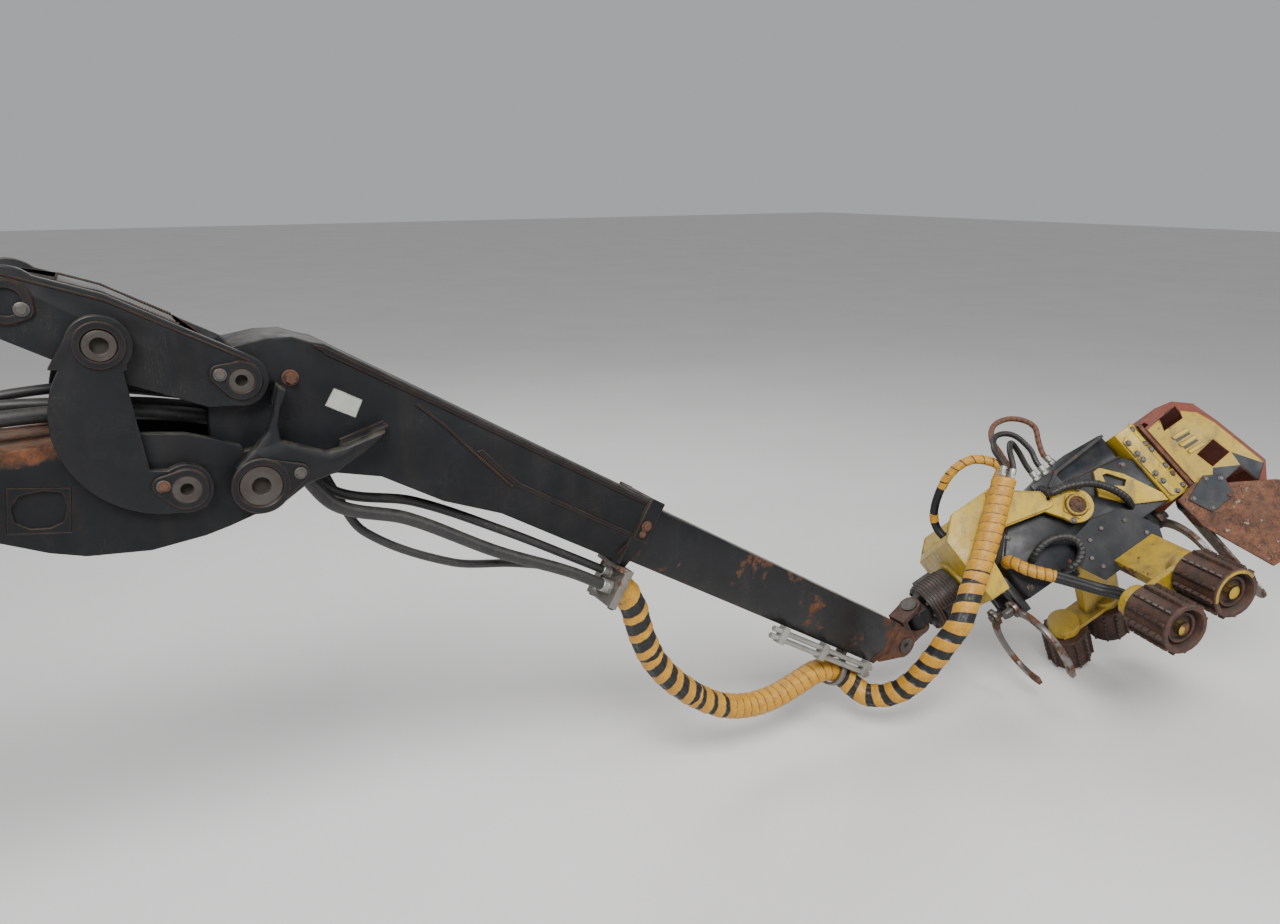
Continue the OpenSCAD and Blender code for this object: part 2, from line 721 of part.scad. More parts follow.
module tilt_pins() {
    color(steel_bare) in_head() for (side = [-1, 1]) mirror([0, side < 0 ? 1 : 0, 0])
        difference() {
            union() {
                bar_y([0, 0], tilt_pin_r, hanger_half_w - side_gap, hanger_half_w + hanger_t + eps);
                bar_y([0, 0], 58, hanger_half_w + hanger_t + eps, hanger_half_w + hanger_t + 12);
            }
            bar_y([0, 0], 20, hanger_half_w + hanger_t - 8, hanger_half_w + hanger_t + 13);
        }
}

module hood() {
    color(steel_dark) in_head() hull() {
        slab(-172, 172) polygon([[-60, 140 + eps], [-60, 196], [189, 237], [415, 218], [418, 100],
            [380, 66 + eps]]);
        slab(-225, 225) polygon([[-60, 140 + eps], [-60, 160], [380, 112], [380, 66 + eps]]);
    }
}

module hose_ports() {
    color(steel_bare) in_head() slab(-249, -229)
        polygon([[-85, 204], [-85, 140 + eps], [-60, 140 + eps], [60, 120.3], [60, 204]]);
}

// Yellow bracket plates with their windows, between frame and guard.
module window_brackets() {
    color(paint_yellow) in_head() slabs(head_half_w + eps, head_half_w + 16) difference() {
        polygon([[150, -30], [215, 85], [250, 85], [330, -10], [418, -190], [418, -236], [250, -150]]);
        polygon([[222, -5], [238, 45], [262, 40], [318, -40], [290, -62]]);
    }
}

module side_covers() {
    color(steel_dark) in_head() slabs(head_half_w + eps, head_half_w + 22)
        polygon([[-95, -238], [-10, -140], [140, -165], [205, -238]]);
}

// Guard between head frame and saw box: the cross-section is bent along two ridges.
guard_top = 172;
guard_bottom = -250;

module guard_box() {
    color(paint_yellow) in_head() translate([0, 0, guard_bottom]) linear_extrude(guard_top - guard_bottom)
        polygon([[425 + eps, -262], [500, -286], [556, -240], [556, 240], [500, 286], [425 + eps, 262]]);
}

// Saw box: an arch over the bar, open towards the head, with windows in its sides.
function saw_arch(out) = [[560, -390 - out], [560, 150 + out], [700, 168 + out], [790 + out, 150 + out],
    [870 + out, 80 + out], [905 + out, -60], [955 + out, -349], [865 + out, -455 - out]];

module saw_shell(out, half_w, bevel) {
    hull() {
        slab(-half_w + bevel, half_w - bevel) polygon(saw_arch(out));
        slab(-half_w, half_w) polygon(saw_arch(out - bevel));
    }
}

module saw_box() {
    color(paint_yellow) in_head() difference() {
        saw_shell(0, 300, 50);
        saw_shell(-12, 288, 46);
        translate([500, -400, -700]) cube([60 + eps, 800, 1000]);
        translate([555, -284, -420]) cube([40, 568, 560]);
        slab(-400, 400) polygon([[625, 50], [650, 112], [770, 118], [745, 50]]);
        slab(-400, 400) polygon([[690, -225], [672, -135], [790, -120], [808, -215]]);
        slab(-400, 400) polygon([[640, -410], [612, -320], [800, -300], [820, -395]]);
        slab(-280, 280) polygon([[560, -500], [580, -370], [840, -430], [800, -500]]);
    }
}

// Rusty near side cover beside the parked saw bar.
module saw_cover() {
    color(rust_red) in_head() {
        slab(-312, -300 - eps) polygon([[428, -262], [556, -235], [640, -300], [880, -440], [955, -500],
            [935, -640], [770, -780], [575, -760], [440, -430]]);
        translate([500, -312, -262]) cube([56, 26, 12 - eps]);
    }
}

saw_pivot_y = -225;
saw_pivot_z = -306;
bar_x0 = 470;

module saw_gear() {
    color(steel_dark) in_head() union() {
        translate([500, saw_pivot_y - 50, -360]) cube([60, 110, 360 + guard_bottom - eps]);
        bar_x(bar_x0 - 14, 501, 24, saw_pivot_y, saw_pivot_z);
    }
}

module saw_bar() {
    color(steel_bare) in_head() translate([bar_x0, saw_pivot_y, saw_pivot_z]) difference() {
        union() {
            bar_x(0, bar_t, bar_half_w);
            bar_x(0, bar_t, bar_half_w, 0, -bar_l);
            translate([0, -bar_half_w, -bar_l]) cube([bar_t, 2 * bar_half_w, bar_l]);
        }
        bar_x(-1, bar_t + 1, 24 + pin_play);
    }
}

// Feed arms and rollers. Each arm is drawn shut, then swung open about its pin, as parked.
arm_pivot_y = 190;
arm_pivot_z = -280;
roller_top = -420;
roller_rear = -150;
roller_x = [roller_rear, roller_rear + roller_pitch];

module in_arm(side) {
    in_head() translate([0, side * arm_pivot_y, arm_pivot_z]) rotate([side * arm_open, 0, 0]) children();
}

module feed_arm(side) {
    color(paint_yellow) in_arm(side) difference() {
        union() {
            bar_x(-15, 225, 38);
            translate([-15, -30, roller_top + 8]) cube([240, 60, -roller_top - 8]);
            translate([roller_rear - 60, -70, roller_top + 8]) cube([roller_pitch + 120, 140, 32]);
            for (x = roller_x) {
                translate([x, 0, roller_top + 8]) cylinder(r = 84, h = 62);
                translate([x, 0, roller_top - roller_l + 12]) cylinder(r = 34, h = roller_l);
            }
        }
        bar_x(-16, 226, 20 + pin_play);
    }
}

module feed_roller(x, side) {
    color(rust_red) in_arm(side) translate([x, 0, roller_top - roller_l]) difference() {
        union() {
            cylinder(r = roller_r - 14, h = roller_l);
            for (k = [0:11]) rotate([0, 0, 30 * k + 8])
                translate([roller_r - 22, -7, 14]) cube([22, 14, roller_l - 28]);
        }
        translate([0, 0, -1]) cylinder(r = 34 + pin_play, h = roller_l + 2);
        translate([0, 0, -1]) cylinder(r = 88, h = 41);
    }
}

// Delimbing knives: a curved blade hung on a pin beside the frame, drawn shut and swung open.
// The blade's centre lies under the middle of the frame.
knife_r = 180;
knife_blade = 40;
knife_t = 24;
knife_side = 130;
knife_drop = 180;

module knife(x0, side, pivot_z) {
    color(steel_bare) in_head() translate([x0, side * knife_side, pivot_z]) rotate([side * knife_open, 0, 0])
        mirror([0, side < 0 ? 1 : 0, 0]) rotate([90, 0, 90]) linear_extrude(knife_t) difference() {
            union() {
                difference() {
                    disc([-knife_side, -knife_drop], knife_r + knife_blade);
                    disc([-knife_side, -knife_drop], knife_r);
                    polygon([[-600, -900], [-600, 200], [60, 200], [-20, -10], [-knife_side, -knife_drop],
                        [-knife_side - 30, -900]]);
                }
                circle(r = 46);
            }
            circle(r = 22 + pin_play);
        }
}

upper_knife_z = -245;
lower_knife_z = -295;

// Pins of the feed arms and knives, fixed in the head frame.
module head_pins() {
    color(steel_bare) in_head() for (side = [-1, 1]) {
        bar_x(-70, 280, 20, side * arm_pivot_y, arm_pivot_z);
        bar_x(-70, -60 - eps, 32, side * arm_pivot_y, arm_pivot_z);
        bar_x(-575, -455, 22, side * knife_side, upper_knife_z);
        bar_x(304, 424, 22, side * knife_side, lower_knife_z);
    }
}

main_boom();
foot_boss();
boom_lugs();
boom_tip();
boom_pipes();
rocker_plates();
rocker_pins();
upper_arm();
horn_pin_bar();
cylinder_foot_pin();
jib_cylinder_barrel();
jib_cylinder_rod();
jib();
jib_castings();
jib_pivot_pin();
hose_bracket();
extension();
extension_tip();
extension_pipes();
bundle_clamp();
swing_link();
swing_pin();
cross_pin();
rotator_housing();
hanger();
head_frame();
tilt_pins();
hood();
hose_ports();
window_brackets();
side_covers();
guard_box();
saw_box();
saw_cover();
saw_gear();
saw_bar();
feed_arm(-1);  // feed_arm_near
feed_arm(1);  // feed_arm_far
feed_roller(roller_x[0], -1);  // roller_near_rear
feed_roller(roller_x[1], -1);  // roller_near_front
feed_roller(roller_x[0], 1);  // roller_far_rear
feed_roller(roller_x[1], 1);  // roller_far_front
knife(-530, -1, upper_knife_z);  // upper_knife_near
knife(-560, 1, upper_knife_z);  // upper_knife_far
knife(360, -1, lower_knife_z);  // lower_knife_near
knife(390, 1, lower_knife_z);  // lower_knife_far
head_pins();
color(rubber) at_pivot() hose(thick_route, thick_r);  // hose_thick
color(rubber) at_pivot() hose(thin_route, thin_r);  // hose_thin
color(rubber) at_pivot() hose(third_route, third_r);  // hose_third
color(wrap_yellow) in_jib() hose_run(bundle_route, bundle_r, 0, loop_end);  // bundle_loop
color(wrap_yellow) in_jib() hose_run(bundle_route, bundle_r, loop_end, tail_link);  // bundle_tail_link
color(wrap_yellow) in_jib() hose_run(bundle_route, bundle_r, tail_link, tail_cross);  // bundle_tail_cross
color(wrap_yellow) in_jib() hose_run(bundle_route, bundle_r, tail_cross, tail_hanger);  // bundle_tail_hanger
color(wrap_yellow) in_jib() hose_run(bundle_route, bundle_r, tail_hanger, len(bundle_route) - 1);  // bundle_rise
color(rubber) in_head() hose(arc_one, arc_r);  // hose_arc_one
color(rubber) in_head() hose(arc_two, arc_r);  // hose_arc_two
color(rubber) in_head() hose(brown_arc, arc_r);  // hose_arc_brown
color(wrap_yellow) in_head() hose(sleeve_route, sleeve_r);  // hose_sleeve
color(wrap_yellow) in_head() hose(small_route, small_r);  // hose_small
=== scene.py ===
"""Looks of a forestry harvester's crane boom with its harvester head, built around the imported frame."""

import json
import math
import random
from contextlib import contextmanager

import bmesh
import bpy
from bpy.props import FloatProperty, FloatVectorProperty, IntProperty, PointerProperty
from mathutils import Matrix, Vector, noise
from mathutils.geometry import tessellate_polygon


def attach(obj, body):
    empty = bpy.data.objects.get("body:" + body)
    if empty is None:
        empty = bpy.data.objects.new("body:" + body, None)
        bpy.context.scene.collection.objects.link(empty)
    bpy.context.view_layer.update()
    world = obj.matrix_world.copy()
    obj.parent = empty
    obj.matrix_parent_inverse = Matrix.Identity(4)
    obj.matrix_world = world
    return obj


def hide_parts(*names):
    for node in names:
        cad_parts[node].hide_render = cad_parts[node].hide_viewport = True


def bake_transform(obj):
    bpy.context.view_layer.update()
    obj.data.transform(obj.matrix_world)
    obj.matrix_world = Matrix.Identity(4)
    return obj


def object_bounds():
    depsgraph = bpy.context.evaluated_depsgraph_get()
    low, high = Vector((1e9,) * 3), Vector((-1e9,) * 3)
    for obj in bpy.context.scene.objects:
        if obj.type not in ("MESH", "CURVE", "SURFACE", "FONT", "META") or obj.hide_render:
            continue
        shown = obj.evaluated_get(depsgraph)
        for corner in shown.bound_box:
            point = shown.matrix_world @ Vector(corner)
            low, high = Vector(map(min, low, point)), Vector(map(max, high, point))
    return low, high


bl_info = {
    "name": "Harvester crane boom and head",
    "version": (1, 0, 0),
    "blender": (4, 5, 0),
    "location": "View3D > Sidebar > Harvester",
    "description": "Dresses the crane boom, its hoses and the harvester head",
    "category": "Object",
}

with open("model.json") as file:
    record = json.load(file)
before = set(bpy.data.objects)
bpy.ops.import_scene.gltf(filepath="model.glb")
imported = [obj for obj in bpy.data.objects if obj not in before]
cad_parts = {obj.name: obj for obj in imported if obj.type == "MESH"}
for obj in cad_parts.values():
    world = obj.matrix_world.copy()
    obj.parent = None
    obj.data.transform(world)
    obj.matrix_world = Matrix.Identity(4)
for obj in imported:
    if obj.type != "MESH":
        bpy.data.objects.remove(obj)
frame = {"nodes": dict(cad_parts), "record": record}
CAD_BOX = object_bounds()

# Frames of the machine, as in the part's source. Lengths here are in metres.
PIVOT = (3.94, 0.0, -0.62)
JIB_SLOPE = 31.5
LINK_RISE = 31.2
CROSS_TURN = 13.0
HEAD_ROLL = 46.0
ARM_OPEN = 52.0
BOOM_SLOPE = 10.0
SWING_PIN = (3.29, 0.0, 0.36)
CROSS_PIN = (0.17, 0.0, 0.0)
TILT_PIN = (0.925, 0.0, 0.0)
ARM_PIN = (0.0, 0.19, -0.28)


def turned_by(degrees, axis):
    return Matrix.Rotation(math.radians(degrees), 4, axis)


AT_BOOM = Matrix.Identity(4)
AT_PIVOT = Matrix.Translation(PIVOT)
IN_JIB = AT_PIVOT @ turned_by(JIB_SLOPE, "Y")
IN_LINK = IN_JIB @ Matrix.Translation(SWING_PIN) @ turned_by(-JIB_SLOPE - LINK_RISE, "Y")
IN_CROSS = IN_LINK @ Matrix.Translation(CROSS_PIN) @ turned_by(-CROSS_TURN, "Z")
IN_HEAD = IN_CROSS @ Matrix.Translation(TILT_PIN) @ turned_by(-HEAD_ROLL, "X")
IN_SLOPE = Matrix.Translation((0, 0, 0.15)) @ turned_by(BOOM_SLOPE, "Y")


def in_arm(side):
    """Frame of a feed arm: -1 is the near one, 1 the far one."""
    pin = Matrix.Translation((ARM_PIN[0], side * ARM_PIN[1], ARM_PIN[2]))
    return IN_HEAD @ pin @ turned_by(side * ARM_OPEN, "X")


# Settings that a user would change.


class PaintSettings(bpy.types.PropertyGroup):
    """Colours of the crane boom and the head."""

    boom_black: FloatVectorProperty(name="Boom black", description="Paint of the booms and the linkage",
                                    subtype="COLOR", size=3, default=(0.0030, 0.0035, 0.0046), min=0, max=1)
    head_yellow: FloatVectorProperty(name="Head yellow", description="Faded paint of the harvester head",
                                     subtype="COLOR", size=3, default=(0.49, 0.315, 0.010), min=0, max=1)
    rust_brown: FloatVectorProperty(name="Rust brown", description="Dark, old rust",
                                    subtype="COLOR", size=3, default=(0.040, 0.019, 0.011), min=0, max=1)
    rust_orange: FloatVectorProperty(name="Rust orange", description="Fresh rust",
                                     subtype="COLOR", size=3, default=(0.150, 0.056, 0.024), min=0, max=1)
    primer_red: FloatVectorProperty(name="Primer red", description="Worn red primer on the saw box",
                                    subtype="COLOR", size=3, default=(0.215, 0.045, 0.028), min=0, max=1)
    tape_yellow: FloatVectorProperty(name="Tape yellow", description="Tape wound round the hose bundles",
                                     subtype="COLOR", size=3, default=(0.62, 0.32, 0.016), min=0, max=1)
    dust_colour: FloatVectorProperty(name="Dust", description="Forest dust on upward faces",
                                     subtype="COLOR", size=3, default=(0.115, 0.105, 0.082), min=0, max=1)


class SizeSettings(bpy.types.PropertyGroup):
    """Sizes of the pieces added to the frame."""

    weld_radius: FloatProperty(name="Weld radius", description="Radius of the weld beads",
                               subtype="DISTANCE", unit="LENGTH", default=0.006, min=0.002, max=0.015)
    ring_step: FloatProperty(name="Hose ring step", description="Distance between two rings of a hose mesh",
                             subtype="DISTANCE", unit="LENGTH", default=0.006, min=0.003, max=0.02)
    roller_teeth: IntProperty(name="Teeth per rib", description="Teeth on one rib of a feed roller",
                              default=6, min=3, max=12)
    bolt_scale: FloatProperty(name="Bolt scale", description="Width of the bolt heads, 1 is the usual one",
                              subtype="FACTOR", default=1.0, min=0.5, max=1.5)


# Mesh tools. Local points are in millimetres, frames in metres.


def at(place, x, y, z):
    return place @ Vector((x / 1000, y / 1000, z / 1000))


def fillet(outline, radius):
    """The outline with its corners rounded."""
    if radius <= 0:
        return list(outline)
    steps = 5
    rounded = []
    count = len(outline)
    for i, corner in enumerate(outline):
        p = Vector(corner)
        before = Vector(outline[i - 1]) - p
        after = Vector(outline[(i + 1) % count]) - p
        half = before.angle(after) / 2
        reach = min(radius / max(math.tan(half), 0.05), before.length * 0.45, after.length * 0.45)
        start = p + before.normalized() * reach
        end = p + after.normalized() * reach
        for k in range(steps + 1):
            t = k / steps
            rounded.append(tuple(start * (1 - t) ** 2 + p * (2 * t * (1 - t)) + end * t * t))
    return rounded


def area_of(outline):
    return sum(outline[i - 1][0] * p[1] - p[0] * outline[i - 1][1] for i, p in enumerate(outline)) / 2


def inset(outline, distance):
    """Every corner moved to the left of the way round, by the distance from both of its sides."""
    moved = []
    count = len(outline)
    for i, corner in enumerate(outline):
        p = Vector(corner)
        a = (p - Vector(outline[i - 1])).normalized()
        b = (Vector(outline[(i + 1) % count]) - p).normalized()
        left_a = Vector((-a.y, a.x))
        left_b = Vector((-b.y, b.x))
        mitre = left_a + left_b
        mitre = mitre / max(mitre.dot(left_a), 0.35)
        moved.append(tuple(p + mitre * distance))
    return moved


def plate(bm, place, outer, y0, y1, holes=(), edge=1.5, corner=0, hole_corner=0):
    """A flat plate with chamfered rims: its outline lies in X and Z, and it is thick from y0 to y1."""
    loops = []
    for outline, radius, around in [(outer, corner, 1)] + [(h, hole_corner, -1) for h in holes]:
        loop = list(outline)
        if area_of(loop) * around < 0:
            loop.reverse()
        loops.append(fillet(loop, radius))
    levels = [(y0, edge), (y0 + edge, 0), (y1 - edge, 0), (y1, edge)]
    rings = []
    for loop in loops:
        rings.append([[bm.verts.new(at(place, x, y, z)) for x, z in inset(loop, d)] for y, d in levels])
    for ring in rings:
        count = len(ring[0])
        for low, high in zip(ring, ring[1:]):
            for i in range(count):
                j = (i + 1) % count
                bm.faces.new((low[i], high[i], high[j], low[j]))
    for level, flip in ((0, False), (-1, True)):
        flat = [v for ring in rings for v in ring[level]]
        depth = levels[level][1]
        shapes = [[Vector((x, z, 0)) for x, z in inset(loop, depth)] for loop in loops]
        for triangle in tessellate_polygon(shapes):
            corners = [flat[i] for i in triangle]
            if len(set(corners)) == 3:
                bm.faces.new(corners[::-1] if flip else corners)


def lathe(bm, place, centre, out, profile, sides=24, twist=0.0):
    """A turned shape: the profile gives radius and height along the direction out."""
    axis = Vector(out).normalized()
    across = axis.cross(Vector((0.3, 0.2, 1)) if abs(axis.z) < 0.8 else Vector((1, 0.2, 0))).normalized()
    along = axis.cross(across)
    rings = []
    for radius, height in profile:
        base = Vector(centre) + axis * height
        if radius <= 0:
            rings.append([bm.verts.new(at(place, *base))])
            continue
        ring = []
        for k in range(sides):
            a = math.tau * (k + twist) / sides
            spoke = across * math.cos(a) + along * math.sin(a)
            ring.append(bm.verts.new(at(place, *(base + spoke * radius))))
        rings.append(ring)
    for low, high in zip(rings, rings[1:]):
        for k in range(sides):
            m = (k + 1) % sides
            if len(low) == 1 and len(high) > 1:
                bm.faces.new((low[0], high[m], high[k]))
            elif len(high) == 1 and len(low) > 1:
                bm.faces.new((low[k], low[m], high[0]))
            elif len(low) > 1:
                bm.faces.new((low[k], low[m], high[m], high[k]))


def bolt(bm, place, centre, out, radius, height, twist=0.0):
    """A hexagon bolt head on its washer."""
    radius *= bpy.context.scene.crane_sizes.bolt_scale
    washer = radius * 1.35
    lathe(bm, place, centre, out, [(0, 0), (washer, 0), (washer, height * 0.22), (washer * 0.93, height * 0.3),
                                   (0, height * 0.3)], 20)
    lathe(bm, place, centre, out, [(radius, height * 0.3), (radius, height * 0.85), (radius * 0.86, height),
                                   (radius * 0.3, height), (0, height)], 6, twist)


def ring_boss(bm, place, centre, out, outer, inner, height):
    """A raised ring with a chamfered rim, such as the boss round a pin."""
    chamfer = min(3.0, height * 0.4)
    lathe(bm, place, centre, out, [(outer, 0), (outer, height - chamfer), (outer - chamfer, height),
                                   (inner + chamfer, height), (inner, height - chamfer), (inner, 0)], 48)


def weld(bm, place, points, radius):
    """A rippled weld bead along points."""
    path = [Vector(p) for p in points]
    ripple = 4.0
    sides = 6
    rings = []
    run = 0.0
    for start, end in zip(path, path[1:]):
        steps = max(2, int((end - start).length / ripple))
        direction = (end - start).normalized()
        side = direction.cross(Vector((0.13, 0.37, 0.92))).normalized()
        up = direction.cross(side)
        for k in range(steps):
            centre = start.lerp(end, k / steps)
            run += ripple
            swell = radius * (1 + 0.16 * math.sin(run * 0.79) + 0.12 * noise.noise(centre * 0.05))
            rings.append([bm.verts.new(at(place, *(centre + (side * math.cos(a) + up * math.sin(a)) * swell)))
                          for a in [math.tau * n / sides for n in range(sides)]])
    for low, high in zip(rings, rings[1:]):
        for n in range(sides):
            m = (n + 1) % sides
            bm.faces.new((low[n], low[m], high[m], high[n]))
    for ring in (rings[0][::-1], rings[-1]):
        bm.faces.new(ring)


def shade(mesh, degrees=38):
    for face in mesh.polygons:
        face.use_smooth = True
    mesh.set_sharp_from_angle(angle=math.radians(degrees))


FINISHES = {}


def make_piece(name, bm, finish, body, degrees=38, replaced=None):
    """Turns a bmesh into a piece that rides on a body, and stands for a CAD node where one is named."""
    bmesh.ops.recalc_face_normals(bm, faces=bm.faces)
    mesh = bpy.data.meshes.new(name)
    bm.to_mesh(mesh)
    bm.free()
    shade(mesh, degrees)
    mesh.materials.append(FINISHES[finish])
    piece = bpy.data.objects.new(name, mesh)
    bpy.context.scene.collection.objects.link(piece)
    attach(piece, body)
    if replaced:
        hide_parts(replaced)
    return piece


@contextmanager
def new_piece(name, finish, body, slot=None, degrees=38, replaced=None):
    """Gives a bmesh to fill, and makes it a piece at the end of the with block."""
    bm = bmesh.new()
    yield bm
    make_piece(name, bm, finish, body, degrees, replaced)


def body_of_node(node):
    return next(body for body, nodes in frame["record"]["behaviour"]["bodies"].items() if node in nodes)


def slot_of(node):
    return next(row["material_slot"] for row in frame["record"]["subparts"] if row["node"] == node)


def softened(node, finish, width):
    """A copy of a CAD node with rounded edges, which stands for it."""
    bm = bmesh.new()
    bm.from_mesh(frame["nodes"][node].data)
    bmesh.ops.remove_doubles(bm, verts=bm.verts, dist=1e-5)
    bmesh.ops.dissolve_limit(bm, angle_limit=math.radians(0.6), verts=bm.verts, edges=bm.edges)
    sharp = [e for e in bm.edges if len(e.link_faces) == 2
             and e.calc_face_angle(0) > math.radians(33) and e.calc_length() > width * 1.2]
    bmesh.ops.bevel(bm, geom=sharp, offset=width, segments=2, profile=0.6, affect="EDGES", clamp_overlap=False)
    bmesh.ops.triangulate(bm, faces=[f for f in bm.faces if len(f.verts) > 4], ngon_method="EAR_CLIP")
    return make_piece(node + "_dressed", bm, finish, body_of_node(node), replaced=node)


# Hoses


def smooth_route(points, step):
    """Points a step apart along a smooth curve through the given points."""
    route = [Vector(p) for p in points]
    padded = [route[0] * 2 - route[1]] + route + [route[-1] * 2 - route[-2]]
    dense = []
    for i in range(1, len(padded) - 2):
        p0, p1, p2, p3 = padded[i - 1:i + 3]
        gap = max((p2 - p1).length, 1e-6)
        tangent_1 = (p2 - p0) * (gap / max((p2 - p0).length, 1e-6))
        tangent_2 = (p3 - p1) * (gap / max((p3 - p1).length, 1e-6))
        parts = max(2, round(gap / step))
        for k in range(parts):
            t = k / parts
            a = 2 * t ** 3 - 3 * t ** 2 + 1
            b = t ** 3 - 2 * t ** 2 + t
            dense.append((i - 1, p1 * a + tangent_1 * b + p2 * (1 - a) + tangent_2 * (t ** 3 - t ** 2)))
    dense.append((len(route) - 1, route[-1]))
    return dense


def frames_along(centres):
    """For each centre two directions square to the route, carried along it without a twist."""
    found = []
    side = None
    for i, centre in enumerate(centres):
        tangent = (centres[min(i + 1, len(centres) - 1)] - centres[max(i - 1, 0)]).normalized()
        if side is None:
            side = tangent.cross(Vector((0, 0, 1)) if abs(tangent.z) < 0.8 else Vector((0, 1, 0)))
        side = (side - tangent * side.dot(tangent)).normalized()
        found.append((side, tangent.cross(side)))
    return found


def lobed_radius(angle, radius, lobes):
    """The outline of several thin hoses that lie round a middle, seen along the bundle."""
    share = math.pi / lobes
    off = (angle + share) % (2 * share) - share
    thin = radius * (0.40 if lobes > 4 else 0.50)
    middle = radius - thin
    under = thin * thin - (middle * math.sin(off)) ** 2
    return middle * math.cos(off) + math.sqrt(max(under, (thin * 0.25) ** 2))


def tape_at(run, angle, windings):
    """How far inside the tape a point lies, in metres, and how far across its turn, from 0 to 1.
    windings lists the stretches: where each starts along the hose, its pitch, the share that is taped, and
    where in its turn it begins."""
    start, pitch, share, phase = windings[0]
    for row in windings:
        if run >= row[0]:
            start, pitch, share, phase = row
    turn = ((run - start) / pitch + phase - angle / math.tau) % 1
    if share <= 0:
        return -pitch, 0.0
    if share >= 1:
        return pitch, turn
    inside = min(turn, share - turn) if turn < share else -min(turn - share, 1 - turn)
    return inside * pitch, min(turn / share, 1)


def hose_mesh(name, rings, radius, sides, lobes, windings, shingle):
    """A hose from (centre, side, up, run) rows. The tape's mask goes into the point attribute wrap."""
    bm = bmesh.new()
    wrap = bm.verts.layers.float.new("wrap")
    across = bm.verts.layers.float.new("across")
    loops = []
    for centre, side, up, run in rings:
        loop = []
        for k in range(sides):
            angle = math.tau * k / sides
            inside, share = tape_at(run, angle, windings)
            bare = lobed_radius(angle, radius * 0.95, lobes) if lobes > 1 else radius * 0.97
            cover = min(max(inside / 0.003 + 0.5, 0), 1)
            taped = radius - shingle * (1 - share)
            if inside > -0.006:
                bare = max(bare, radius - 0.006 - shingle)
            reach = bare + (taped - bare) * cover
            vert = bm.verts.new(centre + (side * math.cos(angle) + up * math.sin(angle)) * reach)
            vert[wrap] = inside
            vert[across] = share
            loop.append(vert)
        loops.append(loop)
    for low, high in zip(loops, loops[1:]):
        for k in range(sides):
            m = (k + 1) % sides
            bm.faces.new((low[k], low[m], high[m], high[k]))
    for loop in (loops[0][::-1], loops[-1]):
        bm.faces.new(loop)
    bmesh.ops.recalc_face_normals(bm, faces=bm.faces)
    mesh = bpy.data.meshes.new(name)
    bm.to_mesh(mesh)
    bm.free()
    shade(mesh, 50)
    return mesh


def hose_piece(name, stretch, radius, finish, *, sides=20, lobes=1, windings=((0, 1, 0, 0),),
               shingle=0.0, body=None, bend=None, replaced=None):
    """One hose. stretch holds its (centre, side, up, run) rows; bend is (body, body, start, end), and a hose
    given one stays where it is made.
    """
    mesh = hose_mesh(name, stretch, radius, sides, lobes, windings, shingle)
    mesh.materials.append(FINISHES[finish])
    piece = bpy.data.objects.new(name, mesh)
    bpy.context.scene.collection.objects.link(piece)
    if bend:
        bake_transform(piece)
    else:
        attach(piece, body)
    if replaced:
        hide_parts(replaced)
    return piece


def declare_hose(stretch):
    centres = [row[0] for row in stretch]
    keep = max(1, len(centres) // 36)
    path = centres[::keep]
    if (path[-1] - centres[-1]).length > 1e-6:
        path.append(centres[-1])


def rows_of(points, step):
    """The (centre, side, up, run) rows of a smooth route, and the row at which each given point lies."""
    dense = smooth_route(points, step)
    centres = [centre for _, centre in dense]
    rows = []
    run = 0.0
    for i, (side, up) in enumerate(frames_along(centres)):
        if i:
            run += (centres[i] - centres[i - 1]).length
        rows.append((centres[i], side, up, run))
    marks = {}
    for i, (index, _) in enumerate(dense):
        marks.setdefault(index, i)
    return rows, marks


# Hose routes, as in the part's source: beside the jib pivot, along the jib and in the head, in metres.
THICK_ROUTE = [(-0.79, -0.098, 0.259), (-0.62, -0.084, 0.262), (-0.44, -0.05, 0.252), (-0.25, -0.035, 0.225),
               (-0.06, -0.035, 0.176), (0.07, -0.035, 0.1), (0.15, -0.035, -0.03), (0.25, -0.038, -0.16),
               (0.48, -0.042, -0.248), (0.8, -0.046, -0.438), (1.097, -0.05, -0.586), (1.283, -0.05, -0.7)]
THIN_ROUTE = [(-0.79, 0.086, 0.259), (-0.62, 0.066, 0.268), (-0.43, 0.026, 0.262), (-0.24, 0.008, 0.242),
              (-0.06, 0.008, 0.194), (0.08, 0.008, 0.115), (0.15, 0.008, 0.005), (0.26, 0.004, -0.125),
              (0.52, 0, -0.205), (0.85, -0.005, -0.38), (1.124, -0.01, -0.543), (1.31, -0.01, -0.657)]
THIRD_ROUTE = [(-0.79, 0.124, 0.259), (-0.61, 0.112, 0.29), (-0.42, 0.072, 0.3), (-0.21, 0.046, 0.266),
               (-0.02, 0.045, 0.21), (0.115, 0.045, 0.126), (0.2, 0.045, 0.01), (0.262, 0.044, -0.135),
               (0.35, 0.04, -0.3), (0.65, 0.03, -0.476), (0.9, 0.026, -0.535), (1.089, 0.025, -0.599),
               (1.275, 0.025, -0.713)]
BUNDLE_LOW = [(1.486, -0.01, 0.085), (1.55, -0.01, 0.08), (1.64, -0.003, 0.03), (1.745, 0.008, -0.06),
              (1.87, 0.014, -0.148), (2.02, 0.018, -0.212), (2.19, 0.02, -0.25), (2.37, 0.02, -0.262),
              (2.535, 0.02, -0.23), (2.675, 0.018, -0.155), (2.785, 0.016, -0.052), (2.87, 0.015, 0.038),
              (2.95, 0.015, 0.084), (2.987, 0.015, 0.088), (3.03, 0.013, 0.088), (3.105, -0.02, 0.066),
              (3.165, -0.085, 0.05), (3.205, -0.15, 0.08), (3.222, -0.215, 0.14), (3.222, -0.268, 0.215),
              (3.213, -0.308, 0.305), (3.2, -0.34, 0.4), (3.19, -0.365, 0.49)]
